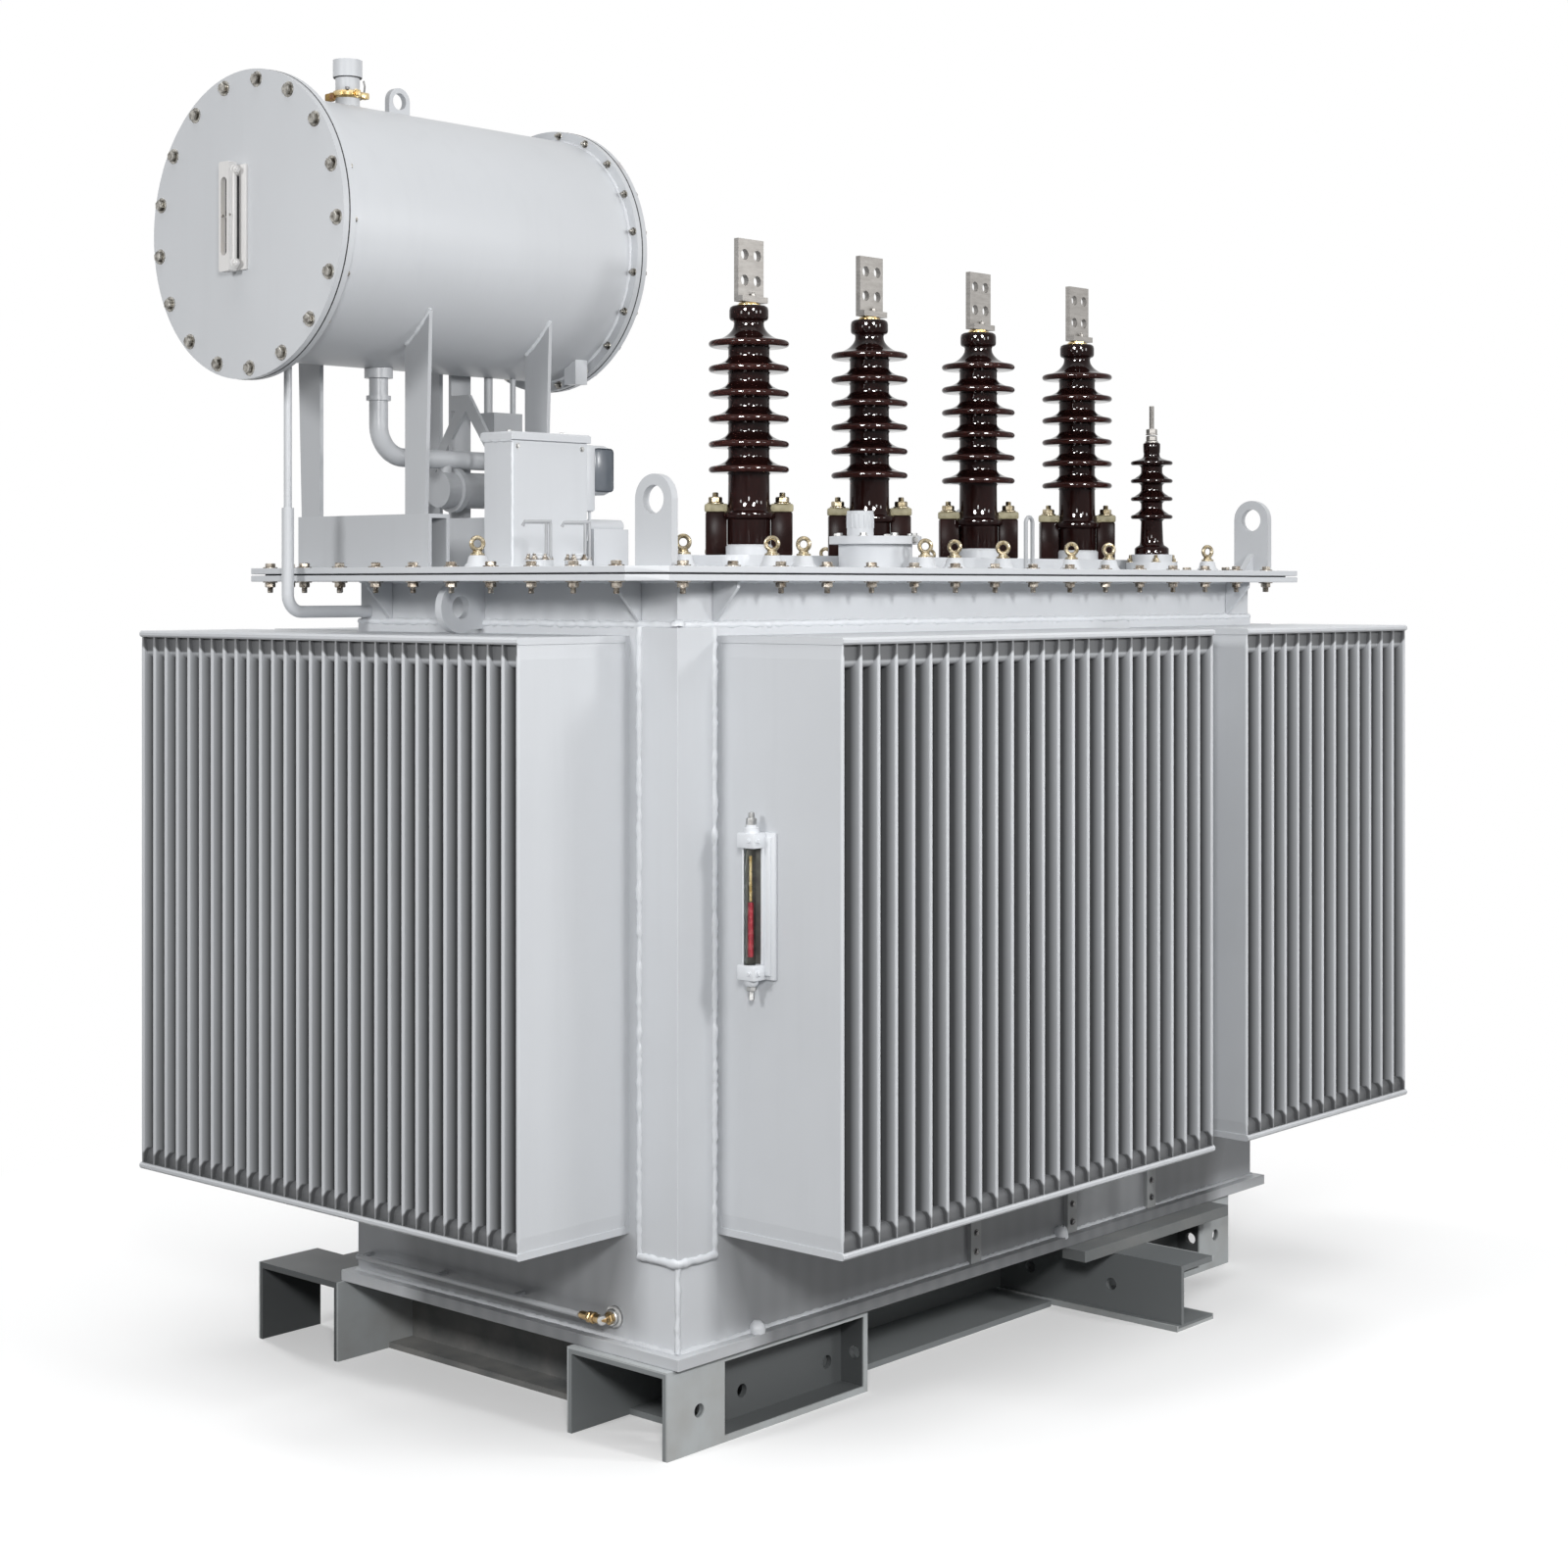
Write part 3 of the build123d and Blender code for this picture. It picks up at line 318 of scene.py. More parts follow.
def paint_look(name, colour, dirt=0.5, rust=None, shade=None, keep=0.5, gloss=0.5):
    """Sprayed grey paint: faint clouds and runs, orange peel, dust towards the floor, rust where asked.

    Shade makes a mask from the look; under it the paint keeps only a share of its colour: painted
    shade, laid into the colour where shade falls, in hollows, valleys and under overhangs.
    """
    look = Look(name)
    clouds = look.remap(look.noise(1.6, 4), 0.3, 0.7, 0, 1)
    base = look.blend(clouds, scaled(colour, 0.95), scaled(colour, 1.04))
    runs = look.remap(look.noise(3.0, 4, (9, 9, 0.6)), 0.52, 0.78, 0, 0.16 * dirt)
    base = look.blend(runs, base, scaled(colour, 0.72))
    low = look.remap(look.height(), 0.02, 0.34, 0.62 * dirt, 0)
    dust = look.product(low, look.remap(look.noise(11, 5), 0.35, 0.7, 0.2, 1))
    base = look.blend(dust, base, DUST)
    if rust:
        spots = look.remap(look.noise(26, 6), 0.55, 0.66, 0, 0.8)
        base = look.blend(look.product(spots, look.remap(look.height(), *rust, 0, 1)), base, RUST)
    # Painted shade: under the shade mask the colour drops to its kept share
    if shade:
        base = look.blend(shade(look), base, scaled(colour, keep))
    look.colour(base)
    look.shader.inputs["Specular IOR Level"].default_value = gloss
    look.rough(0.33, 0.46, 4.0)
    look.bump(look.noise(240, 2), 0.05, 0.002)
    return look.mat


def metal_look(name, first, second, rough, scale=70, stretch=(1, 1, 1)):
    """Bare or plated metal with cloudy tints and a fine grain."""
    look = Look(name, 1.0)
    look.colour(look.blend(look.remap(look.noise(scale, 4, stretch), 0.35, 0.65, 0, 1), first, second))
    look.rough(*rough, scale * 1.7)
    look.bump(look.noise(scale * 9, 2, stretch), 0.12, 0.0006)
    return look.mat


def plain_look(name, first, second, rough, scale=40):
    """Plastic, rubber or coloured liquid with a faint mottle."""
    look = Look(name)
    look.colour(look.blend(look.remap(look.noise(scale, 3), 0.3, 0.7, 0, 1), first, second))
    look.rough(*rough, scale)
    look.bump(look.noise(scale * 14, 2), 0.06, 0.0008)
    return look.mat


GREY = (0.605, 0.622, 0.645)
paint = paint_look("TankPaint", GREY)
frame_paint = paint_look("PadPaint", (0.46, 0.475, 0.48), 1.0)
rusty_paint = paint_look("RustSpottedPaint", GREY, 0.5, (2.42, 2.54))
weld_paint = paint_look("WeldPaint", scaled(GREY, 1.2), 0.2)
# A darker copy of the grey: painted shade on the bails and the hoop
handle_paint = paint_look("HandlePaint", scaled(GREY, 0.62), 0.3)
bar_paint = paint_look("GaugePaint", (0.74, 0.73, 0.72), 0.3)
zinc = metal_look("YellowZinc", (0.22, 0.175, 0.10), (0.48, 0.42, 0.31), (0.2, 0.36), 110)
khaki = plain_look("KhakiZinc", (0.21, 0.185, 0.105), (0.36, 0.325, 0.205), (0.42, 0.56), 70)
bolt_steel = metal_look("BoltSteel", (0.15, 0.14, 0.125), (0.46, 0.445, 0.41), (0.2, 0.36), 110)
dull_zinc = metal_look("AgedZinc", (0.15, 0.12, 0.09), (0.48, 0.44, 0.385), (0.2, 0.36), 110)
brass = metal_look("Brass", (0.42, 0.29, 0.11), (0.68, 0.55, 0.32), (0.2, 0.36))
rusty_brass = plain_look("RustyBrass", (0.16, 0.06, 0.02), (0.46, 0.30, 0.08), (0.4, 0.6), 90)
bronze = metal_look("Bronze", (0.26, 0.17, 0.08), (0.46, 0.34, 0.18), (0.26, 0.4))
tin = metal_look("TinnedPlate", (0.315, 0.30, 0.283), (0.375, 0.36, 0.342), (0.4, 0.52), 30, (1, 1, 6))
steel = metal_look("BareSteel", (0.36, 0.36, 0.355), (0.58, 0.58, 0.57), (0.3, 0.5))
dark_steel = metal_look("DarkSteel", (0.10, 0.10, 0.105), (0.20, 0.195, 0.19), (0.36, 0.55))
brown = plain_look("BrownFoot", (0.010, 0.004, 0.0035), (0.020, 0.007, 0.006), (0.22, 0.34), 20)
brown.node_tree.nodes["Principled BSDF"].inputs["Specular IOR Level"].default_value = 0.08
rubber = plain_look("Rubber", (0.018, 0.018, 0.02), (0.04, 0.04, 0.043), (0.55, 0.75))
slate = plain_look("DialWindow", (0.10, 0.115, 0.135), (0.14, 0.155, 0.175), (0.16, 0.26), 12)
shade_plate = plain_look("GaugeBack", (0.075, 0.075, 0.07), (0.14, 0.135, 0.12), (0.35, 0.5), 60)
red_oil = plain_look("RedColumn", (0.22, 0.010, 0.020), (0.30, 0.018, 0.028), (0.2, 0.3), 60)

amber_look = Look("AmberOil")
level = amber_look.remap(amber_look.height(), 2.22, 2.32, 0, 1)
amber_look.colour(amber_look.blend(level, (0.70, 0.33, 0.02), (0.52, 0.44, 0.12)))
amber_look.rough(0.12, 0.22, 60)
amber = amber_look.mat

glass_look = Look("ClearGlass")
glass_look.colour(glass_look.blend(glass_look.noise(30), (0.90, 0.94, 0.93), (0.97, 0.98, 0.97)))
glass_look.shader.inputs["Transmission Weight"].default_value = 1.0
glass_look.shader.inputs["IOR"].default_value = 1.14
glass_look.rough(0.01, 0.05, 30)
glass = glass_look.mat
smoked = plain_look("SmokedGlass", (0.035, 0.036, 0.037), (0.07, 0.07, 0.07), (0.14, 0.22), 25)

glaze_look = Look("BrownGlaze")
clouds = glaze_look.remap(glaze_look.noise(9, 4), 0.3, 0.7, 0, 1)
thick = glaze_look.blend(clouds, (0.009, 0.0038, 0.0036), (0.017, 0.0055, 0.0048))
thin = glaze_look.remap(glaze_look.radius(), 0.064, 0.083, 0, 0.55)
glaze_look.colour(glaze_look.blend(thin, thick, (0.050, 0.014, 0.011)))
glaze_look.shader.inputs["Specular IOR Level"].default_value = 0.12
glaze_look.rough(0.03, 0.06, 12)
glaze_look.bump(glaze_look.noise(34, 2), 0.03, 0.003)
glaze = glaze_look.mat


class Mesh:
    """Gathers shapes, in millimetres off the tank corner, into one piece."""

    def __init__(self):
        self.verts = []
        self.faces = []

    def add(self, verts, faces, where=None):
        base = len(self.verts)
        self.verts += [where @ Vector(v) if where else Vector(v) for v in verts]
        self.faces += [[base + i for i in f] for f in faces]

    def turn(self, profile, where, n=20, start=0.0):
        """A body turned from (radius, height) pairs, up from its foot."""
        verts, rings, faces = [], [], []
        for r, z in profile:
            sides = n if r > 0 else 1
            rings.append(range(len(verts), len(verts) + sides))
            for k in range(sides):
                a = start + 2 * math.pi * k / n
                verts.append((r * math.cos(a), r * math.sin(a), z))
        for a, b in zip(rings, rings[1:]):
            for k in range(n):
                corners = (a[k % len(a)], a[(k + 1) % len(a)], b[(k + 1) % len(b)], b[k % len(b)])
                face = list(dict.fromkeys(corners))
                if len(face) > 2:
                    faces.append(face)
        self.add(verts, faces, where)

    def tube(self, path, radius, n=10, closed=False):
        """A round rod along a path; radius is one number or one for each point."""
        path = [Vector(p) for p in path]
        last = len(path) - 1
        verts, faces = [], []
        side = None
        for i, point in enumerate(path):
            if closed:
                way = path[(i + 1) % len(path)] - path[i - 1]
            else:
                way = path[min(i + 1, last)] - path[max(i - 1, 0)]
            way.normalize()
            side = way.orthogonal() if side is None else side - way * side.dot(way)
            side.normalize()
            up = way.cross(side)
            r = radius[i] if isinstance(radius, list) else radius
            for k in range(n):
                a = 2 * math.pi * k / n
                verts.append(point + (side * math.cos(a) + up * math.sin(a)) * r)
        for i in range(len(path) if closed else last):
            a, b = i * n, (i + 1) % len(path) * n
            for k in range(n):
                faces.append((a + k, a + (k + 1) % n, b + (k + 1) % n, b + k))
        if not closed:
            faces.append(tuple(range(n))[::-1])
            faces.append(tuple(range(last * n, last * n + n)))
        self.add(verts, faces)

    def block(self, x0, x1, y0, y1, z0, z1, bevel=2.0, where=None):
        """A block with rounded edges."""
        bm = bmesh.new()
        bmesh.ops.create_cube(bm, size=1)
        middle = Vector(((x0 + x1) / 2, (y0 + y1) / 2, (z0 + z1) / 2))
        size = (x1 - x0, y1 - y0, z1 - z0)
        for v in bm.verts:
            v.co = Vector([c * s for c, s in zip(v.co, size)]) + middle
        bmesh.ops.bevel(bm, geom=list(bm.edges), offset=bevel, segments=2, profile=0.5, affect="EDGES")
        bm.verts.index_update()
        self.add([v.co.copy() for v in bm.verts], [[v.index for v in f.verts] for f in bm.faces], where)
        bm.free()

    def hexagon(self, where, r, h, z=0.0):
        """A hex head or nut with its corners turned off."""
        side = [(r * 0.9, z), (r, z + h * 0.12), (r, z + h * 0.84), (r * 0.86, z + h)]
        self.turn([(0, z), *side, (0, z + h)], where, 6)

    def washer(self, where, r, h, z=0.0):
        self.turn([(0, z), (r, z), (r, z + h * 0.7), (r - h * 0.3, z + h), (0, z + h)], where, 20)

    def thread(self, where, r, length, z=0.0):
        """A threaded end with a chamfered tip."""
        pitch = max(2.0, r * 0.28)
        profile = [(0, z), (r, z)]
        for k in range(int((length - r * 0.3) / pitch)):
            profile += [(r, z + (k + 0.35) * pitch), (r * 0.9, z + (k + 0.75) * pitch)]
        self.turn(profile + [(r, z + length - r * 0.3), (r * 0.75, z + length), (0, z + length)], where, 12)

    def bolt(self, spot, way, r):
        """A hex head on its washer."""
        where = stand(spot, way, random.uniform(0, 1))
        self.washer(where, r * 1.42, r * 0.22)
        self.hexagon(where, r, r * 0.72, r * 0.22)

    def nut(self, spot, way, r, out):
        """A washer, a nut and the bolt's threaded end."""
        where = stand(spot, way, random.uniform(0, 1))
        self.washer(where, r * 1.42, r * 0.22)
        self.hexagon(where, r, r * 0.9, r * 0.22)
        self.thread(where, r * 0.56, out, r * 1.12)

    def weld(self, path, r, closed=False):
        """A rippled weld bead along straight runs between points."""
        path = [Vector(p) for p in path]
        if closed:
            path.append(path[0])
        points = []
        for a, b in zip(path, path[1:]):
            steps = max(2, round((b - a).length / 8))
            points += [a.lerp(b, k / steps) for k in range(steps)]
        if not closed:
            points.append(path[-1])
        points = [p + Vector([random.uniform(-0.12, 0.12) * r for _ in range(3)]) for p in points]
        swell = [r * random.uniform(0.76, 1.16) for _ in points]
        self.tube(points, swell, 7, closed)

    def blob(self, spot, r, h):
        """A rough lump of weld metal."""
        profile = [(0, -2), (r, -2), (r * 1.02, h * 0.3), (r * 0.8, h * 0.75), (r * 0.4, h * 0.97), (0, h)]
        first = len(self.verts)
        self.turn(profile, stand(spot), 14)
        for k in range(first, len(self.verts)):
            self.verts[k] += Vector([random.uniform(-0.12, 0.12) * r for _ in range(3)])

    def piece(self, name, mat, slot, sharp=32, origin=None):
        """The gathered shapes as an object that rides on the transformer."""
        start = at(*origin) if origin else Vector()
        mesh = bpy.data.meshes.new(name)
        mesh.from_pydata([at(*v) - start for v in self.verts], [], self.faces)
        bm = bmesh.new()
        bm.from_mesh(mesh)
        bmesh.ops.recalc_face_normals(bm, faces=bm.faces)
        bm.to_mesh(mesh)
        bm.free()
        mesh.shade_smooth()
        mesh.set_sharp_from_angle(angle=math.radians(sharp))
        mesh.materials.append(mat)
        obj = bpy.data.objects.new(name, mesh)
        obj.location = start
        scene.collection.objects.link(obj)
        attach(obj, "root")
        return obj


def stand(spot, way=(0, 0, 1), spin=0.0):
    """A frame at a spot whose Z runs along a way."""
    turn = Vector((0, 0, 1)).rotation_difference(Vector(way)).to_matrix().to_4x4()
    return Matrix.Translation(Vector(spot)) @ turn @ Matrix.Rotation(spin, 4, "Z")


def arc(centre, radius, first, last, steps, plane="xz"):
    """Points on an arc of degrees in a plane of two axes."""
    points = []
    for k in range(steps + 1):
        a = math.radians(first + (last - first) * k / steps)
        point = Vector(centre)
        point["xyz".index(plane[0])] += radius * math.cos(a)
        point["xyz".index(plane[1])] += radius * math.sin(a)
        points.append(point)
    return points


def hollow(node, inset):
    """A mask inside a node's box; inset gives an axis how far in from its two ends."""
    low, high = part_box(node)

    def shade(look):
        mask = None
        for key, (a, b) in inset.items():
            part = look.inside(key, getattr(low, key) + a * MM, getattr(high, key) - b * MM)
            mask = look.product(mask, part) if mask else part
        return mask

    return shade


FIN_PITCH = 0.05
HOOD_LEAN = 1.2


def fin_paint(node, along, across, sign):
    """Fin paint with painted shade: darker deep in the valleys between the fins and in the pockets at their
    ends.

    The fins stand out along across, on its sign's side.
    """
    low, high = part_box(node)
    tip = getattr(high if sign > 0 else low, across)

    def shade(look):
        def sunk(first, last):
            return look.remap(look.axis(across), tip - sign * first * MM, tip - sign * last * MM, 0, 1)

        slope = look.product(look.sum_up("SUBTRACT", look.axis(across), tip), -HOOD_LEAN * sign)
        from_foot = look.sum_up("SUBTRACT", look.height(), low.z)
        from_head = look.sum_up("SUBTRACT", high.z, look.height())
        ends = None
        for away in (from_foot, from_head):
            under_hood = look.remap(look.sum_up("SUBTRACT", away, slope), 0.025, 0.031, 1, 0)
            near = look.product(under_hood, look.remap(away, 0.040, 0.046, 1, 0))
            ends = look.sum_up("MAXIMUM", ends, near) if ends else near
        # Painted shade: the valleys darken with depth in from the fins' tips, the pockets under the hoods at
        # the fins' ends
        pockets = look.product(sunk(2, 5), ends)
        valleys = look.sum_up("MAXIMUM", sunk(10, 28), pockets)
        return look.product(valleys, hollow(node, {along: (3, 3), "z": (4, 4)})(look))

    return paint_look("FinPaint_" + node, GREY, 0.5, None, shade, 0.205, 0.4)


def under_fins(look):
    """A mask in the fins' shadow on the lower walls and base plate: off the corners, and striped."""
    middle, half = (TANK0 + TANK1) / 2, (TANK1 - TANK0) / 2
    reach = None
    for key in "xy":
        away = look.sum_up("ABSOLUTE", look.sum_up("SUBTRACT", look.axis(key), getattr(middle, key)))
        reach = look.sum_up("ADD", reach, away) if reach else away
    inward = look.sum_up("SUBTRACT", half.x + half.y, reach)
    lean = look.sum_up("ADD", inward, look.remap(look.height(), PLATE_Z * MM, (WEDGE_Z + 2) * MM, -0.06, 0))
    stripes = look.remap(look.sum_up("SINE", look.product(reach, 2 * math.pi / FIN_PITCH)), -1, 1, 0.93, 1)
    mask = look.product(look.remap(lean, 0.08, 0.15, 0, 1), look.inside("z", 0.1, 0.39, 0.02))
    return look.product(mask, stripes)


def wall_shade(look):
    """Painted shade on the walls: the fins' shadow and a fainter shadow on the neck under the rim; a faint
    mask on the upper walls takes the lighter wall colour back to about the plain grey, which leaves painted
    light on the lower walls by the corners.
    """
    # The upper walls back to about the plain grey; the lighter wall colour stays as painted light low by the
    # corners
    upper = look.remap(look.height(), 0.35, 0.40, 0, 0.2)
    neck = look.product(look.inside("z", (NECK_Z + 2) * MM, 1.6, 0.006), 0.36)
    return look.sum_up("MAXIMUM", under_fins(look), look.sum_up("MAXIMUM", upper, neck))


def under_drum(look):
    """A mask of painted shade on the drum's underside, growing towards its bottom."""
    low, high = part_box("conservator_shell")
    middle = (low.z + high.z) / 2
    return look.remap(look.height(), middle - 0.06, low.z, 0, 1)


# Materials on the CAD nodes
FRAME = (0.535, 0.568, 0.578)
# A darker copy of the grey: painted shade on the stay, the gas relay and the breather chamber
stay_paint = paint_look("StayPaint", scaled(GREY, 0.7))
matt_paint = paint_look("MattPaint", GREY, gloss=0.15)
special = {
    # Wall colour made lighter as painted light by the lower corners, with painted shadow of the fins and the
    # rim
    "tank_body": paint_look("WallPaint", scaled(GREY, 1.14), 0.2, None, wall_shade, 0.5),
    # Painted shadow of the fins on the base plate
    "tank_base_plate": paint_look("PlatePaint", GREY, 0.5, None, under_fins, 0.36, 0.25),
    # Drum colour made lighter as painted light on its top, with painted shade on its underside
    "conservator_shell": paint_look("DrumPaint", scaled(GREY, 1.07), 0.5, None, under_drum, 0.66),
    # Darker copies of the grey: painted shade on the lid lugs, the saddles, the posts and the pipe
    "lid_lifting_lugs": paint_look("LidLugPaint", scaled(GREY, 0.88)),
    "conservator_saddles": paint_look("SaddlePaint", scaled(GREY, 0.86)),
    "conservator_posts": paint_look("PostPaint", scaled(GREY, 0.82)),
    "conservator_pipe": paint_look("PipePaint", scaled(GREY, 0.8)),
    "conservator_stay": stay_paint, "gas_relay": stay_paint, "breather_chamber": stay_paint,
    "thermometer_pocket": matt_paint, "conservator_rear_cover": rusty_paint, "earthing_pads": frame_paint,
    # Much darker copies of the frame colour: painted shade on the cross channels under the tank and on the
    # packing bar
    "cross_channels": paint_look("CrossChannelPaint", scaled(FRAME, 0.25), 1.0, gloss=0.12),
    "front_packing_bar": paint_look("BarPaint", scaled(FRAME, 0.36), 1.0, gloss=0.12),
    "lid_gasket": rubber, "bushing_flags": tin, "drain_valve": steel,
}
fin_sides = {
    "left_fin_bank": ("y", "x", -1), "end_fin_bank": ("y", "x", 1), "rear_fin_bank": ("x", "y", 1),
    "front_fin_bank": ("x", "y", -1), "front_fin_bank_right": ("x", "y", -1),
}
for name, side in fin_sides.items():
    special[name] = fin_paint(name, *side)
# Painted shade: the recessed webs of the skids, stubs and beam go dark, and the rear skid almost all over, in
# the tank's shadow
frame_hollows = {
    "front_skid": ("FrontSkidPaint", {"y": (3, 3), "z": (-5, 3)}, 0.45, 0.3),
    "rear_skid": ("RearSkidPaint", {"y": (3, 3), "z": (-5, -5)}, 0.2, 0.12),
    "front_stub_channels": ("StubPaint", {"y": (3, -5), "z": (3, 3)}, 0.2, 0.2),
    "front_beam": ("BeamPaint", {"x": (4, 4), "z": (6, -5)}, 0.36, 0.2),
}
for name, (paint_name, inset, keep, gloss) in frame_hollows.items():
    special[name] = paint_look(paint_name, FRAME, 1.0, None, hollow(name, inset), keep, gloss)
for name, obj in nodes.items():
    obj.data.materials.clear()
    obj.data.materials.append(special.get(name, paint))

# Soft edges on the plain plate work
for name in (
    "tank_body", "tank_base_plate", "corner_columns", "tank_rim", "lid", "rim_gussets", "front_packing_bar",
    "earthing_pads", "bushing_deck", "terminal_box_lid", "terminal_box",
):
    weld_points = nodes[name].modifiers.new("Join", "WELD")
    weld_points.merge_threshold = 0.00002
    edge = nodes[name].modifiers.new("SoftEdge", "BEVEL")
    edge.width = 0.0016
    edge.segments = 2
    edge.limit_method = "ANGLE"
    edge.angle_limit = math.radians(50)
    edge.harden_normals = True

lid0, lid1 = span("lid")
rim_z = span("tank_rim")[0].z
LID_Z = lid1.z
gussets = [v.co for v in nodes["rim_gussets"].data.vertices]


def clear_of_gussets(x, y):
    """Whether a nut under the rim has room beside the gussets."""
    spot = at(x, y, 0)
    return all((Vector((g.x, g.y, 0)) - spot).length > 0.027 for g in gussets)


# Lid bolts
LID_BOLT_R = 10.5
LID_BOLT_EDGE = 28
LONG_ROW_X0, LONG_ROW_PITCH = -46, 131.5
SHORT_ROW_Y0, SHORT_ROW_PITCH = 19, 110
long_rows = (lid0.y + LID_BOLT_EDGE, lid1.y - LID_BOLT_EDGE)
short_rows = (lid0.x + LID_BOLT_EDGE, lid1.x - LID_BOLT_EDGE)
bolts = Mesh()
spots = [(LONG_ROW_X0 + LONG_ROW_PITCH * i, y) for i in range(16) for y in long_rows]
spots += [(x, SHORT_ROW_Y0 + SHORT_ROW_PITCH * i) for i in range(10) for x in short_rows]
for x, y in spots:
    bolts.bolt((x, y, LID_Z), (0, 0, 1), LID_BOLT_R)
    if clear_of_gussets(x, y):
        bolts.nut((x, y, rim_z), (0, 0, -1), LID_BOLT_R, 11)
bolts.piece("lid_bolts", dull_zinc, "yellow_zinc")

# Conservator flange bolts
cover0, cover1 = span("conservator_front_cover")
rear0, rear1 = span("conservator_rear_cover")
con_y = (cover0.y + cover1.y) / 2
con_z = (cover0.z + cover1.z) / 2
FLANGE_T = cover1.x - cover0.x
front_r = (cover1.z - cover0.z) / 2
rear_r = (rear1.z - rear0.z) / 2
SHELL_R = 256
FRONT_BOLTS, REAR_BOLTS = 17, 20
bolts = Mesh()
for i in range(FRONT_BOLTS):
    a = math.radians(90 + 360 / FRONT_BOLTS * (i + 0.5) - 3)
    y, z = con_y + (front_r - 20) * math.cos(a), con_z + (front_r - 20) * math.sin(a)
    bolts.bolt((cover0.x, y, z), (-1, 0, 0), 10.5)
    bolts.nut((cover1.x + FLANGE_T, y, z), (1, 0, 0), 9.5, 8)
for i in range(REAR_BOLTS):
    a = math.radians(360 / REAR_BOLTS * (i + 0.5))
    y, z = con_y + (rear_r - 9) * math.cos(a), con_z + (rear_r - 9) * math.sin(a)
    bolts.bolt((rear1.x, y, z), (1, 0, 0), 6.5)
    bolts.nut((rear0.x - FLANGE_T, y, z), (-1, 0, 0), 6, 5)
bolts.piece("conservator_bolts", bolt_steel, "tin")

# Joint rings under the conservator's covers and the filler cap
joints = Mesh()
for x, r in ((cover1.x, front_r), (rear0.x, rear_r)):
    seat = stand((x, con_y, con_z), (1, 0, 0))
    joints.turn([(r - 6, -1.3), (r + 0.6, -1.3), (r + 0.6, 1.3), (r - 6, 1.3)], seat, 96)
cap0, cap1 = span("filler_cap")
cap_r = (cap1.x - cap0.x) / 2
seat = stand(((cap0.x + cap1.x) / 2, (cap0.y + cap1.y) / 2, cap0.z))
joints.turn([(cap_r - 7, -1.6), (cap_r - 1.5, -1.6), (cap_r - 1, 0), (cap_r - 7, 0)], seat, 40)
joints.piece("conservator_joints", rubber, "seal")

# Eye bolts on conical bosses along the lid
EYE_FRONT_Y, EYE_REAR_Y = 20, 900
eyes, bosses = Mesh(), Mesh()
eye_spots = [(x, EYE_FRONT_Y) for x in (35, 278, 369, 840, 1005, 1252, 1394, 1795)]
eye_spots += [(708, -8), (-100, 427)]
eye_spots += [(x, EYE_REAR_Y) for x in (640, 1050, 1460, 1870)]
for x, y in eye_spots:
    spin = random.uniform(-1.2, -0.4)
    where = stand((x, y, LID_Z), (0, 0, 1), spin)
    bosses.turn([(0, 0), (24, 0), (24, 3), (20, 7), (17, 19), (14, 22), (0, 22)], where, 28)
    eyes.washer(where, 14, 4, 22)
    eyes.turn([(0, 26), (10, 26), (10, 29), (7, 32), (0, 32)], where, 16)
    ring = [where @ p for p in arc((0, 0, 44), 11.5, 0, 350, 35)]
    eyes.tube(ring, 4.4, 10, True)
eyes.piece("eye_bolts", zinc, "yellow_zinc")
bosses.piece("eye_bolt_bosses", paint, "tank_paint")

# Bushings
BUSH_X0, BUSH_PITCH, BUSH_Y = 521, 383, 300
BUSH = [(BUSH_X0 + BUSH_PITCH * i, BUSH_Y) for i in range(4)]
DECK_Z = span("bushing_deck")[1].z
BASE_Z = DECK_Z + 22
SKIRT_Z = BASE_Z + 66
BODY_Z = SKIRT_Z + 40
flag0 = span("bushing_flags")[0]
TOP_Z = flag0.z - 6


def sheds(body, rim, pitch, count, z, lip, last):
    """Profile of a shedded stem: flat undersides, round lips, hollow tops; the top cone ends at last."""
    profile = []
    for i in range(count):
        edge = z + i * pitch
        under = edge - lip * 0.9
        profile += [(body, edge - 11), (body + 2, edge - 7.5), (body + 6, under), (rim - lip * 1.3, under)]
        for a in range(-80, 100, 20):
            c, s = math.cos(math.radians(a)), math.sin(math.radians(a))
            profile.append((rim - lip + lip * c, edge + lip * 0.9 * s))
        start = Vector((rim - lip * 1.4, edge + lip * 0.95))
        end = Vector(last) if i == count - 1 else Vector((body, edge + pitch * 0.52))
        near, far = Vector((end.x + 13, edge + lip + 4)), Vector((end.x, end.y - 8))
        for k in range(1, 13):
            t = k / 12
            spot = start * (1 - t) ** 3 + near * 3 * t * (1 - t) ** 2 + far * 3 * t * t * (1 - t)
            profile.append(tuple(spot + end * t ** 3))
    return profile


def porcelain(name, profile, spot, n):
    """A glazed body turned from a profile, which the highlight lamps reach."""
    body = Mesh()
    body.turn(profile, stand((*spot, 0)), n)
    piece = body.piece(name, glaze, "porcelain", 50, (*spot, 0))
    glazed.objects.link(piece)
    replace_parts(piece, "bushing_porcelains")


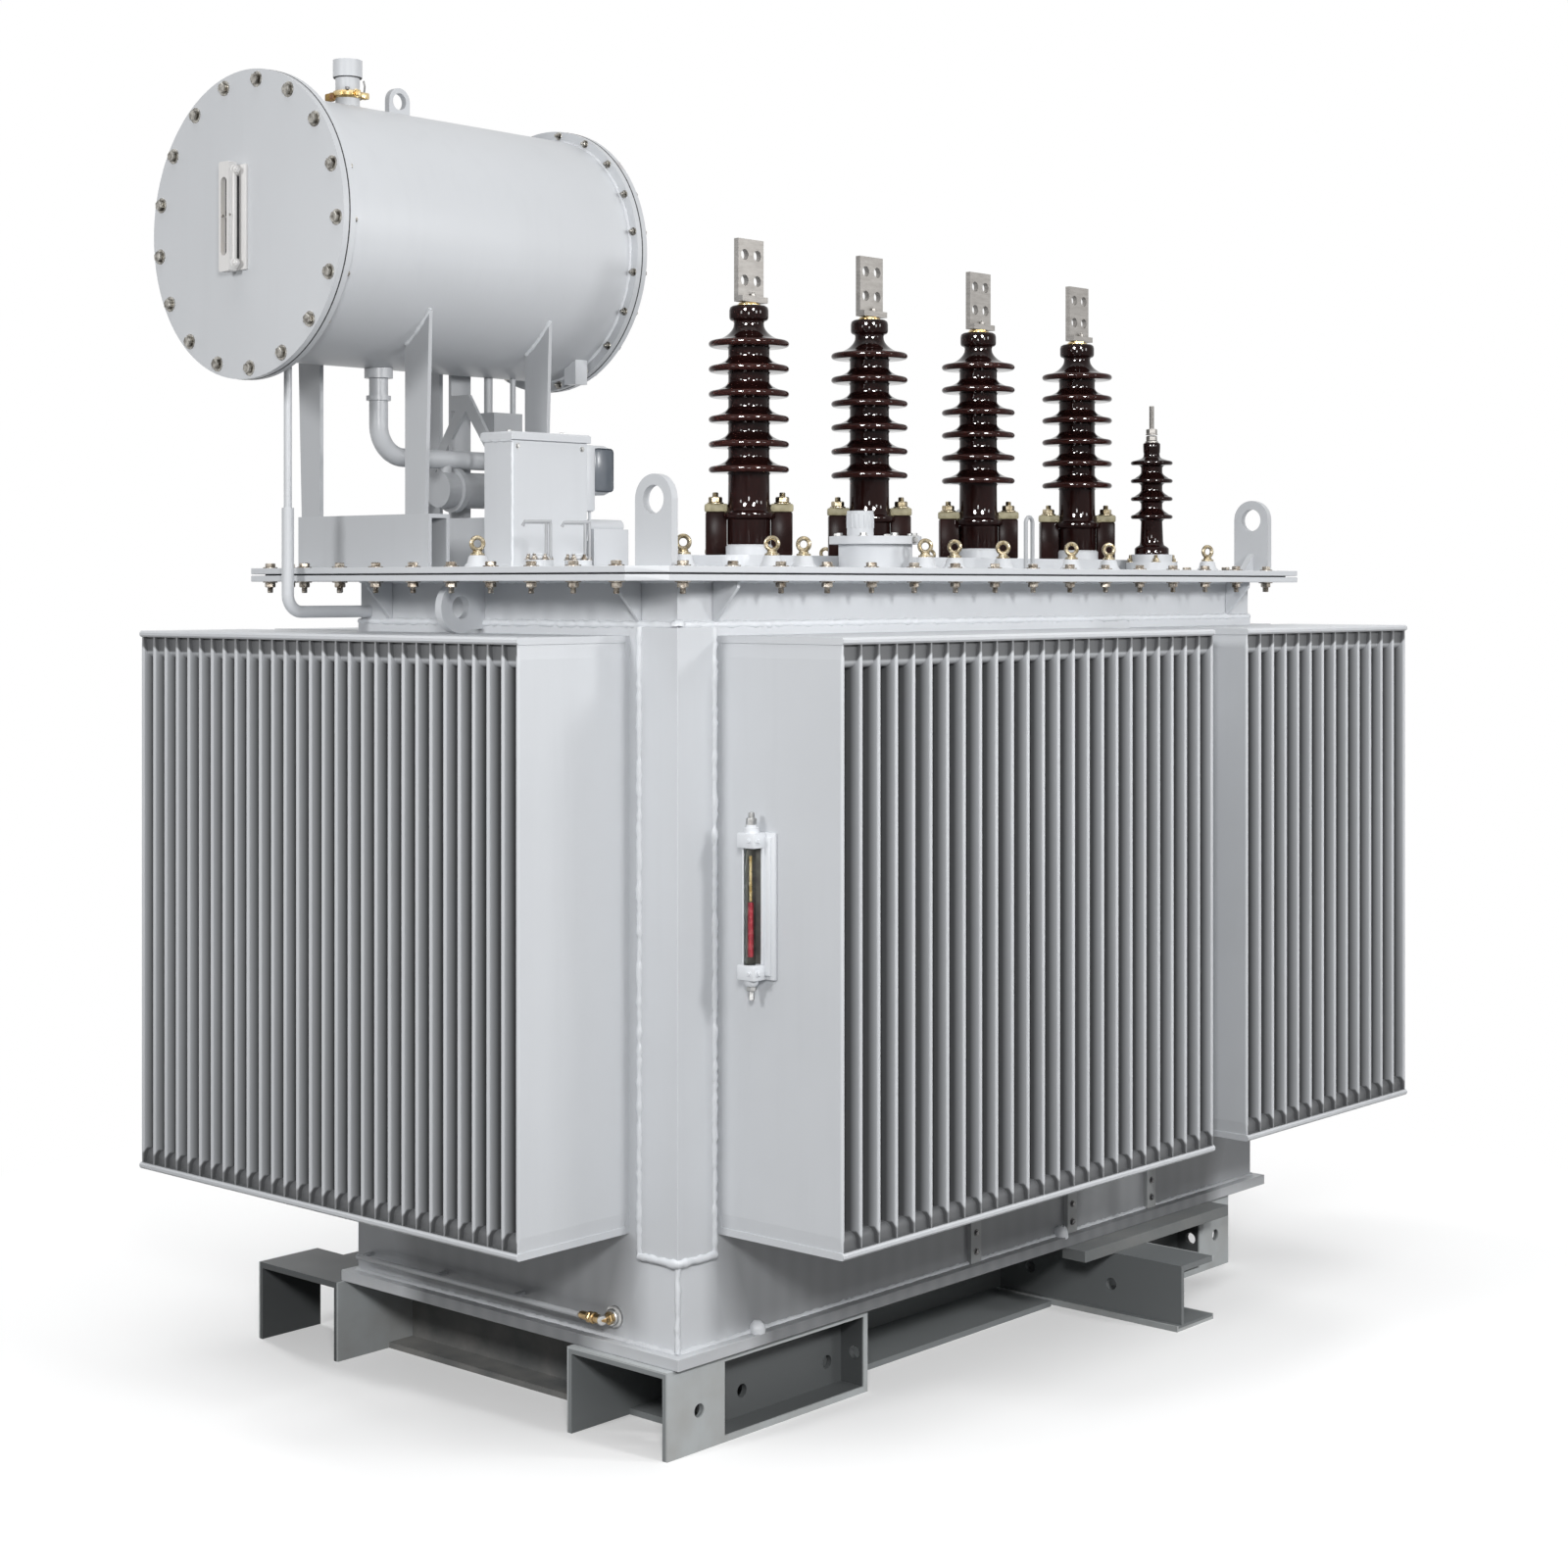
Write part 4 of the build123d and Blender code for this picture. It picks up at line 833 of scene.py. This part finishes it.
skirt = [
    (0, BASE_Z), (43, BASE_Z), (44, BASE_Z + 3), (44, SKIRT_Z - 16), (47, SKIRT_Z - 14), (54, SKIRT_Z - 13),
    (56, SKIRT_Z - 10), (56, SKIRT_Z - 3), (54.5, SKIRT_Z - 0.8), (49.5, SKIRT_Z), (47, SKIRT_Z + 3),
    (44, SKIRT_Z + 10), (42.5, SKIRT_Z + 24),
]
shedded = sheds(body=42, rim=82, pitch=51, count=6, z=BODY_Z + 46, lip=7.6, last=(31, TOP_Z - 40))
crown = [
    (30.5, TOP_Z - 37), (31, TOP_Z - 33.5), (33, TOP_Z - 31.5), (37, TOP_Z - 30), (39.4, TOP_Z - 27),
    (40, TOP_Z - 23), (40, TOP_Z - 10), (38.6, TOP_Z - 4), (34, TOP_Z - 0.8), (27, TOP_Z), (0, TOP_Z),
]
for i, spot in enumerate(BUSH):
    porcelain(f"porcelain_{i + 1}", skirt + shedded + crown, spot, 56)

# Small bushing
SMALL = (1759, 150)
SMALL_BASE_T = 20
small_ring = LID_Z + SMALL_BASE_T + 36
stud0, stud1 = span("small_bushing_stud")
small_top = stud0.z
small_foot = [
    (0, small_ring - 18), (40, small_ring - 18), (40, small_ring - 4), (36, small_ring), (29, small_ring + 4),
    (27, small_ring + 12),
]
small_cone = (19, small_top - 30)
small_sheds = sheds(body=25, rim=49, pitch=42, count=4, z=small_ring + 70, lip=5.6, last=small_cone)
small_crown = [
    (18.5, small_top - 26), (19.5, small_top - 22), (20, small_top - 10), (20, small_top - 3),
    (17, small_top), (0, small_top),
]
porcelain("porcelain_small", small_foot + small_sheds + small_crown, SMALL, 48)

# Nuts over the bushings, clamps with their feet and fixings, and the small bushing's stud
nuts, fixings, tips, bars, feet = Mesh(), Mesh(), Mesh(), Mesh(), Mesh()
bar0, bar1 = span("bushing_clamps")
for x, y in BUSH:
    where = stand((x, y, TOP_Z), (0, 0, 1), 0.4)
    nuts.washer(where, 24, 2.4)
    nuts.hexagon(where, 21, 3.6, 2.4)
    tips.nut((x, y - 12, flag0.z + 12), (0, 0, 1), 5, 3)
    for a in (-45, 135):
        turned = stand((x, y, 0), (0, 0, 1), math.radians(a))
        feet.block(45, 88, -16, 16, DECK_Z, bar0.z, 3, turned)
        bars.block(43, 90, -15, 15, bar0.z, bar1.z + 3, 4, turned)
        seat = turned @ Matrix.Translation((68, 0, bar1.z + 3))
        fixings.washer(seat, 17, 3)
        fixings.hexagon(seat, 14, 11, 3)
        fixings.thread(seat, 6.5, 9, 14)
stud = stand((*SMALL, small_top), (0, 0, 1), 0.2)
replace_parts(nuts.piece("terminal_nuts", brass, "yellow_zinc"), "bushing_nuts")
post = Mesh()
post.washer(stud, 15, 4)
post.hexagon(stud, 13, 12, 4)
post.washer(stud, 14, 3, 18)
post.hexagon(stud, 13, 11, 21)
post.thread(stud, 6, stud1.z - small_top - 33, 33)
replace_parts(post.piece("small_terminal_stud", tin, "tin"), "small_bushing_stud")
for k in range(4):
    a = math.radians(45 + 90 * k)
    foot = (SMALL[0] + 50 * math.cos(a), SMALL[1] + 50 * math.sin(a), LID_Z + SMALL_BASE_T)
    fixings.nut(foot, (0, 0, 1), 8, 8)
fixings.piece("clamp_fixings", zinc, "yellow_zinc")
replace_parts(bars.piece("clamp_bars", khaki, "yellow_zinc"), "bushing_clamps")
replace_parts(feet.piece("clamp_feet", brown, "porcelain"), "bushing_clamp_feet")
tips.piece("flag_fixings", tin, "tin")

# Oil gauge on the conservator's front cover
g0, g1 = span("conservator_gauge")
gy = (g0.y + g1.y) / 2
bar, clear_pieces, oil = Mesh(), Mesh(), Mesh()
BAR_HALF = 15.5


def slotted_bar(mesh, x0, x1, y, z0, z1, half, slot_half, slot_end):
    """A bar seen from -X with a round-ended slot through it."""
    outer, inner = [], []
    middle = (z0 + z1) / 2
    tall, slot_tall = (z1 - z0) / 2, (z1 - z0) / 2 - slot_end - slot_half
    for k in range(48):
        a = 2 * math.pi * (k + 0.5) / 48
        c, s = math.cos(a), math.sin(a)
        inner.append((y + slot_half * c, middle + math.copysign(slot_tall, s) + slot_half * s))
        reach = min(half / max(abs(c), 1e-6), half / max(abs(s), 1e-6))
        if abs(abs(c) - abs(s)) < 0.15:
            reach *= 0.97
        outer.append((y + reach * c, middle + math.copysign(tall - half, s) + reach * s))
    n = len(outer)
    verts = [(x, *p) for x in (x0, x1) for loop in (outer, inner) for p in loop]
    faces = []
    for k in range(n):
        j = (k + 1) % n
        faces += [(k, j, n + j, n + k), (2 * n + k, 3 * n + k, 3 * n + j, 2 * n + j)]
        faces += [(k, 2 * n + k, 2 * n + j, j), (n + k, n + j, 3 * n + j, 3 * n + k)]
    mesh.add(verts, faces)


slotted_bar(bar, g0.x, g0.x + 19, gy, g0.z, g1.z, BAR_HALF, 9, 30)
bar.tube([(g0.x + 12, gy - BAR_HALF - 1, g0.z + 22), (g0.x + 12, gy - BAR_HALF - 1, g1.z - 22)], 2.5, 8)
bar.block(g1.x - 6, g1.x, g0.y, g1.y - 14, g0.z + 4, g1.z - 4, 1.5)
for z in (g0.z + 16, g1.z - 16):
    bar.turn([(0, 0), (12, 0), (12, 22), (0, 22)], stand((g0.x + 19, gy, z), (1, 0, 0)), 20)
    bar.bolt((g0.x + 6, gy, z), (-1, 0, 0), 5.4)
    bar.nut((g0.x + 15, gy - BAR_HALF, z), (0, -1, 0), 7, 3)
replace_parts(bar.piece("level_gauge_bar", bar_paint, "tank_paint"), "conservator_gauge")
oil.block(g0.x + 8, g0.x + 16, gy - 8, gy - 2, g0.z + 38, g1.z - 44, 1)
oil.piece("level_gauge_oil", amber, "gauge_glass")
clear_pieces.block(g0.x + 10, g0.x + 18, gy - 9, gy + 9, g0.z + 28, g1.z - 28, 2)
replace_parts(clear_pieces.piece("level_gauge_glass", smoked, "gauge_glass"), "conservator_gauge_glass")
dark_back, clip = Mesh(), Mesh()
dark_back.block(g0.x + 19, g1.x - 6, gy - 12, gy + 12, g0.z + 26, g1.z - 26, 1)
dark_back.piece("level_gauge_back", rubber, "instrument")
middle = (g0.z + g1.z) / 2
for side in (-1, 1):
    y = gy + side * 11
    bend = ((3, 6 * side, -3 * side), (2.5, 0, 0), (3, -6 * side, 2 * side))
    clip.tube([(g0.x + dx, y + dy, middle + dz) for dx, dy, dz in bend], 2.2, 8)
clip.piece("level_gauge_clips", tin, "tin")

# Liquid gauge on the side of the front fin bank
l0, l1 = span("liquid_gauge_glass")
h0, h1 = span("liquid_gauge")
gx, gy = (l0.x + l1.x) / 2, (l0.y + l1.y) / 2
body, back, tube_glass, column = Mesh(), Mesh(), Mesh(), Mesh()
body.block(h1.x - 8, h1.x, h0.y, h1.y, l0.z - 28, l1.z + 28, 3)
body.block(h1.x - 13, h1.x - 7, h0.y + 8, gy - 12, l0.z - 20, l1.z + 20, 2)
for z0 in (l0.z - 28, l1.z):
    body.block(h0.x, h1.x - 8, gy - 21, gy + 21, z0, z0 + 28, 3)
    body.bolt((h0.x + 12, gy - 21, z0 + 14), (0, -1, 0), 5)
    body.bolt((h0.x, gy - 9, z0 + 14), (-1, 0, 0), 4)
back.block(h1.x - 11, h1.x - 8, gy - 18, gy + 18, l0.z, l1.z, 1)
back.block(gx - 3, h1.x - 9, gy + 6, gy + 9, l0.z, l1.z, 1)
body.block(h1.x - 17, h1.x - 8, gy - 20, gy - 15, l0.z, l1.z, 0.8)
body.block(gx - 6, h1.x - 8, gy + 14, gy + 18, l0.z, l1.z, 0.8)
tube_glass.tube([(gx - 2, gy + 2, l0.z), (gx - 2, gy + 2, l1.z)], 11, 24)
column.tube([(gx - 2, gy, l0.z + 14), (gx - 2, gy, l0.z + 112)], 4.6, 14)
scale_line = Mesh()
scale_line.tube([(gx - 2, gy, l0.z + 114), (gx - 2, gy, l1.z - 14)], 2.6, 10)
body.turn([(0, 0), (14, 0), (14, 8), (9, 10), (9, 14), (0, 14)], stand((gx, gy, l1.z + 28)), 18)
body.turn([(0, 0), (14, 0), (13, 6), (9, 11), (0, 11)], stand((gx, gy, l0.z - 28), (0, 0, -1)), 18)
ends = Mesh()
ends.hexagon(stand((gx, gy, l1.z + 42)), 10, 12)
ends.thread(stand((gx, gy, l1.z + 54)), 6, h1.z - l1.z - 54)
ends.hexagon(stand((gx, gy, l0.z - 39), (0, 0, -1)), 9, 9)
ends.thread(stand((gx, gy, l0.z - 48), (0, 0, -1)), 5.5, l0.z - 48 - h0.z)
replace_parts(body.piece("liquid_gauge_body", weld_paint, "tank_paint"), "liquid_gauge")
back.piece("liquid_gauge_back", shade_plate, "instrument")
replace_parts(tube_glass.piece("liquid_gauge_tube", glass, "gauge_glass"), "liquid_gauge_glass")
column.piece("liquid_gauge_column", red_oil, "gauge_glass")
scale_line.piece("liquid_gauge_scale", brass, "yellow_zinc")
ends.piece("liquid_gauge_ends", steel, "tin")

# Filler clamp
fill0, fill1 = span("filler_neck")
fx, fy = (fill0.x + fill1.x) / 2, (fill0.y + fill1.y) / 2
clamp, lug = Mesh(), Mesh()
cz = con_z + SHELL_R + 25
clamp.turn([(24.5, -7), (28, -7), (31, -3), (31, 3), (28, 7), (24.5, 7), (24.5, -7)], stand((fx, fy, cz)), 36)
clamp.block(fx + 14, fx + 33, fy - 28, fy - 14, cz - 7, cz + 6, 2)
clamp.block(fx - 6, fx + 8, fy - 32, fy - 25, cz - 6, cz + 9, 2)
clamp.bolt((fx - 2, fy - 30, cz + 1), (0, -1, 0), 6)
clamp.piece("filler_clamp", brass, "yellow_zinc")
lug.block(fx - 36, fx - 20, fy + 12, fy + 28, cz - 13, cz + 2, 3)
lug.bolt((fx - 30, fy + 12, cz - 5), (-0.75, -0.66, 0), 6)
lug.piece("filler_clamp_lug", rusty_brass, "yellow_zinc")
lever = Mesh()
lever.tube([(fx + 22, fy - 24, cz + 4), (fx + 23, fy - 25, cz + 18), (fx + 21, fy - 23.5, cz + 29)], 1.8, 8)
lever.turn([(0, 0), (4, 0), (4, 5), (0, 5)], stand((fx - 17, fy - 20, cz + 8)), 12)
lever.piece("filler_lever", dark_steel, "tin")

# Drain valve: flange, elbow and plug
VALVE_Y, ELBOW_X = 160, -32
v0, v1 = span("drain_valve")
vz = (v0.z + v1.z) / 2


def on_elbow(dy):
    """A frame on the elbow's arm, dy along it from the valve's middle."""
    return stand((ELBOW_X, VALVE_Y + dy, vz), (0, 1, 0))


out = stand((0, VALVE_Y, vz), (-1, 0, 0), 0.3)
flange = Mesh()
flange.turn([(0, 0), (21, 0), (21, 5), (19, 6.5), (16, 7), (16, 11), (14, 13), (0, 13)], out, 32)
flange.piece("drain_valve_flange", steel, "tin")
valve = Mesh()
valve.hexagon(out, 12, 9, 12)
elbow = ((-20, 0), (-28, 0), (-31, 3), (ELBOW_X, 10), (ELBOW_X, 34))
valve.tube([(x, VALVE_Y + dy, vz) for x, dy in elbow], 8.5, 16)
valve.turn([(0, 0), (9.5, 0), (11, 2), (11, 5), (9.5, 7), (0, 7)], on_elbow(20), 20)
valve.hexagon(on_elbow(30), 10.5, 9)
valve.turn([(0, 0), (8, 0), (8, 16), (6, 20), (0, 20)], on_elbow(39), 16)
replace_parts(valve.piece("drain_valve_body", bronze, "yellow_zinc"), "drain_valve")
plug = Mesh()
seat = stand((ELBOW_X, VALVE_Y + 2, vz), (-0.6, -0.8, 0))
plug.turn([(0, 0), (9.5, 0), (9.5, 4), (8, 6), (0, 6)], seat, 20)
plug.piece("drain_valve_plug", steel, "tin")

# Bolts on the earthing pads
PAD_SHARES = (0.448, 0.622, 0.778)
pads = Mesh()
pad0, pad1 = span("earthing_pads")
for share in PAD_SHARES:
    for level in (0.28, 0.72):
        pads.bolt((share * TANK_L, pad0.y, pad0.z + (pad1.z - pad0.z) * level), (0, -1, 0), 5.5)
pads.piece("earthing_bolts", dark_steel, "tin")

# Dial beside the terminal box
d0, d1 = span("dial_instrument")
dial, window = Mesh(), Mesh()
dial.block(d0.x, d1.x, d0.y + 8, d1.y, d0.z, d1.z - 1, 14)
dial.block(d0.x, d0.x + 30, d0.y, d1.y - 4, d0.z - 34, d1.z - 2, 5)
lead = ((26, -30), (27, -60), (18, -92))
dial.tube([(d0.x + dx, d0.y + 14, d0.z + dz) for dx, dz in lead], 3.2, 10)
window.block(d0.x + 31, d1.x - 4, d0.y + 3, d0.y + 12, d0.z + 6, d1.z - 7, 8)
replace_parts(dial.piece("dial_case", paint, "tank_paint"), "dial_instrument")
window.piece("dial_window", slate, "instrument")

# Screws on the terminal box
b0, b1 = span("terminal_box")
screws = Mesh()
for x in (b0.x + 14, b1.x - 14):
    screws.bolt((x, b0.y, b1.z - 12), (0, -1, 0), 4)
for x in (b0.x + 30, b1.x - 30):
    screws.bolt((x, (b0.y + b1.y) / 2, span("terminal_box_lid")[1].z), (0, 0, 1), 6)

# Bails and rings on the capped fittings, and a hoop on the lid
FITTINGS_X, FITTINGS_Y = (-60, 41), 300
HOOP_X, HOOP_Y, HOOP_R, HOOP_H = 1152, 60, 12, 100
bails, rings = Mesh(), Mesh()
side = Vector((0.66, -0.75, 0))
for x in FITTINGS_X:
    for k in range(6):
        a = math.radians(20 + 60 * k)
        spot = (x + 20 * math.cos(a), FITTINGS_Y + 20 * math.sin(a), LID_Z + 13)
        rings.nut(spot, (0, 0, 1), 5.5, 5)
    foot = Vector((x, FITTINGS_Y, LID_Z)) + side * 17
    top = foot + Vector((0, 0, 84))
    for shift in (-4, 4):
        step = side * shift
        shank = [foot + step + Vector((0, 0, 12)), top + step - Vector((0, 0, 4))]
        bails.tube(shank + [top + step - side * 3], 3, 8)
    grip = [top + side * 6, top - side * 10, top - side * 44]
    bails.tube(grip + [top - side * 48 - Vector((0, 0, 8))], 3.8, 8)
hoop_z = LID_Z + HOOP_H
left_leg = [(HOOP_X - HOOP_R, HOOP_Y, z) for z in (LID_Z, hoop_z)]
right_leg = [(HOOP_X + HOOP_R, HOOP_Y, z) for z in (hoop_z, LID_Z)]
bails.tube(left_leg + arc((HOOP_X, HOOP_Y, hoop_z), HOOP_R, 170, 10, 6) + right_leg, 4.5, 10)
bails.piece("fitting_bails", handle_paint, "tank_paint")
rings.piece("fitting_rings", dull_zinc, "yellow_zinc")

# Thermometer pocket: cover bolts, a ribbed cap and a plug
p0, p1 = span("thermometer_pocket")
px, py = (p0.x + p1.x) / 2, (p0.y + p1.y) / 2
POCKET_NECK, POCKET_PLATE_T = 49, 16
CAP_DX, CAP_R, CAP_RIBS = -48, 27, 18
plate_z = LID_Z + POCKET_NECK + POCKET_PLATE_T
for k in range(8):
    a = math.radians(22.5 + 45 * k)
    screws.bolt((px + 82 * math.cos(a), py + 82 * math.sin(a), plate_z), (0, 0, 1), 7)
screws.bolt((px + 10, py - 94, plate_z - 8), (0, -1, 0), 6)
cap = Mesh()
for k in range(CAP_RIBS):
    a = 2 * math.pi * k / CAP_RIBS
    spot = (px + CAP_DX + CAP_R * math.cos(a), py + CAP_R * math.sin(a), plate_z)
    cap.block(-2, 2, -1.2, 1.2, 16, 44, 0.6, stand(spot, (0, 0, 1), a + math.pi / 2))
cap.piece("pocket_cap_ribs", matt_paint, "tank_paint")
screws.piece("cover_screws", steel, "tin")

# Weld beads
COLUMN_W = 92
POSTS_X = (-60, 259)


def round_tank(inset, z):
    """The tank's corners at a height, drawn in by an inset."""
    right, back = TANK_L - inset, TANK_W - inset
    return [(inset, inset, z), (right, inset, z), (right, back, z), (inset, back, z)]


beads = Mesh()
beads.weld(round_tank(4, NECK_Z), 7.5, True)
beads.blob((2, 2, NECK_Z), 13, 10)
for x in (203, 1173):
    beads.blob((x, -10, PLATE_Z), 15, 22)
beads.weld(round_tank(4, rim_z), 4, True)
beads.weld(round_tank(0, PLATE_Z), 6, True)
beads.weld([(-1, -1, PLATE_Z + 2), (-1, -1, WEDGE_Z)], 6)
c0, c1 = span("corner_columns")
for x, y in ((COLUMN_W, -3), (-3, COLUMN_W)):
    beads.weld([(x, y, c0.z), (x, y, c1.z)], 7.5)
beads.weld([(COLUMN_W, -4, c0.z), (-4, -4, c0.z), (-4, COLUMN_W, c0.z)], 9)
for x in (cover1.x + FLANGE_T, rear0.x - FLANGE_T):
    beads.weld(arc((x, con_y, con_z), SHELL_R, 0, 355, 71, "yz"), 4, True)
for x in POSTS_X:
    for way in (-1, 1):
        run = []
        for k in range(9):
            dy = way * (134 + 72 * k / 8)
            run.append((x, con_y + dy, con_z - math.sqrt(SHELL_R ** 2 - dy * dy)))
        beads.weld(run, 5)
beads.weld([(b0.x, b0.y, LID_Z), (b1.x, b0.y, LID_Z)], 4)
beads.weld([(b0.x, b1.y, LID_Z), (b0.x, b0.y, LID_Z), (b0.x, b0.y, b1.z - 6)], 3.2)
beads.weld([(b0.x - 1, b1.y, b1.z), (b0.x - 1, b0.y, b1.z)], 4)
filler_ring = [(fx + 24 * math.cos(k / 5), fy + 24 * math.sin(k / 5)) for k in range(31)]
beads.weld([(x, y, con_z + SHELL_R - 1) for x, y in filler_ring], 4)
beads.piece("weld_beads", weld_paint, "tank_paint", 60)
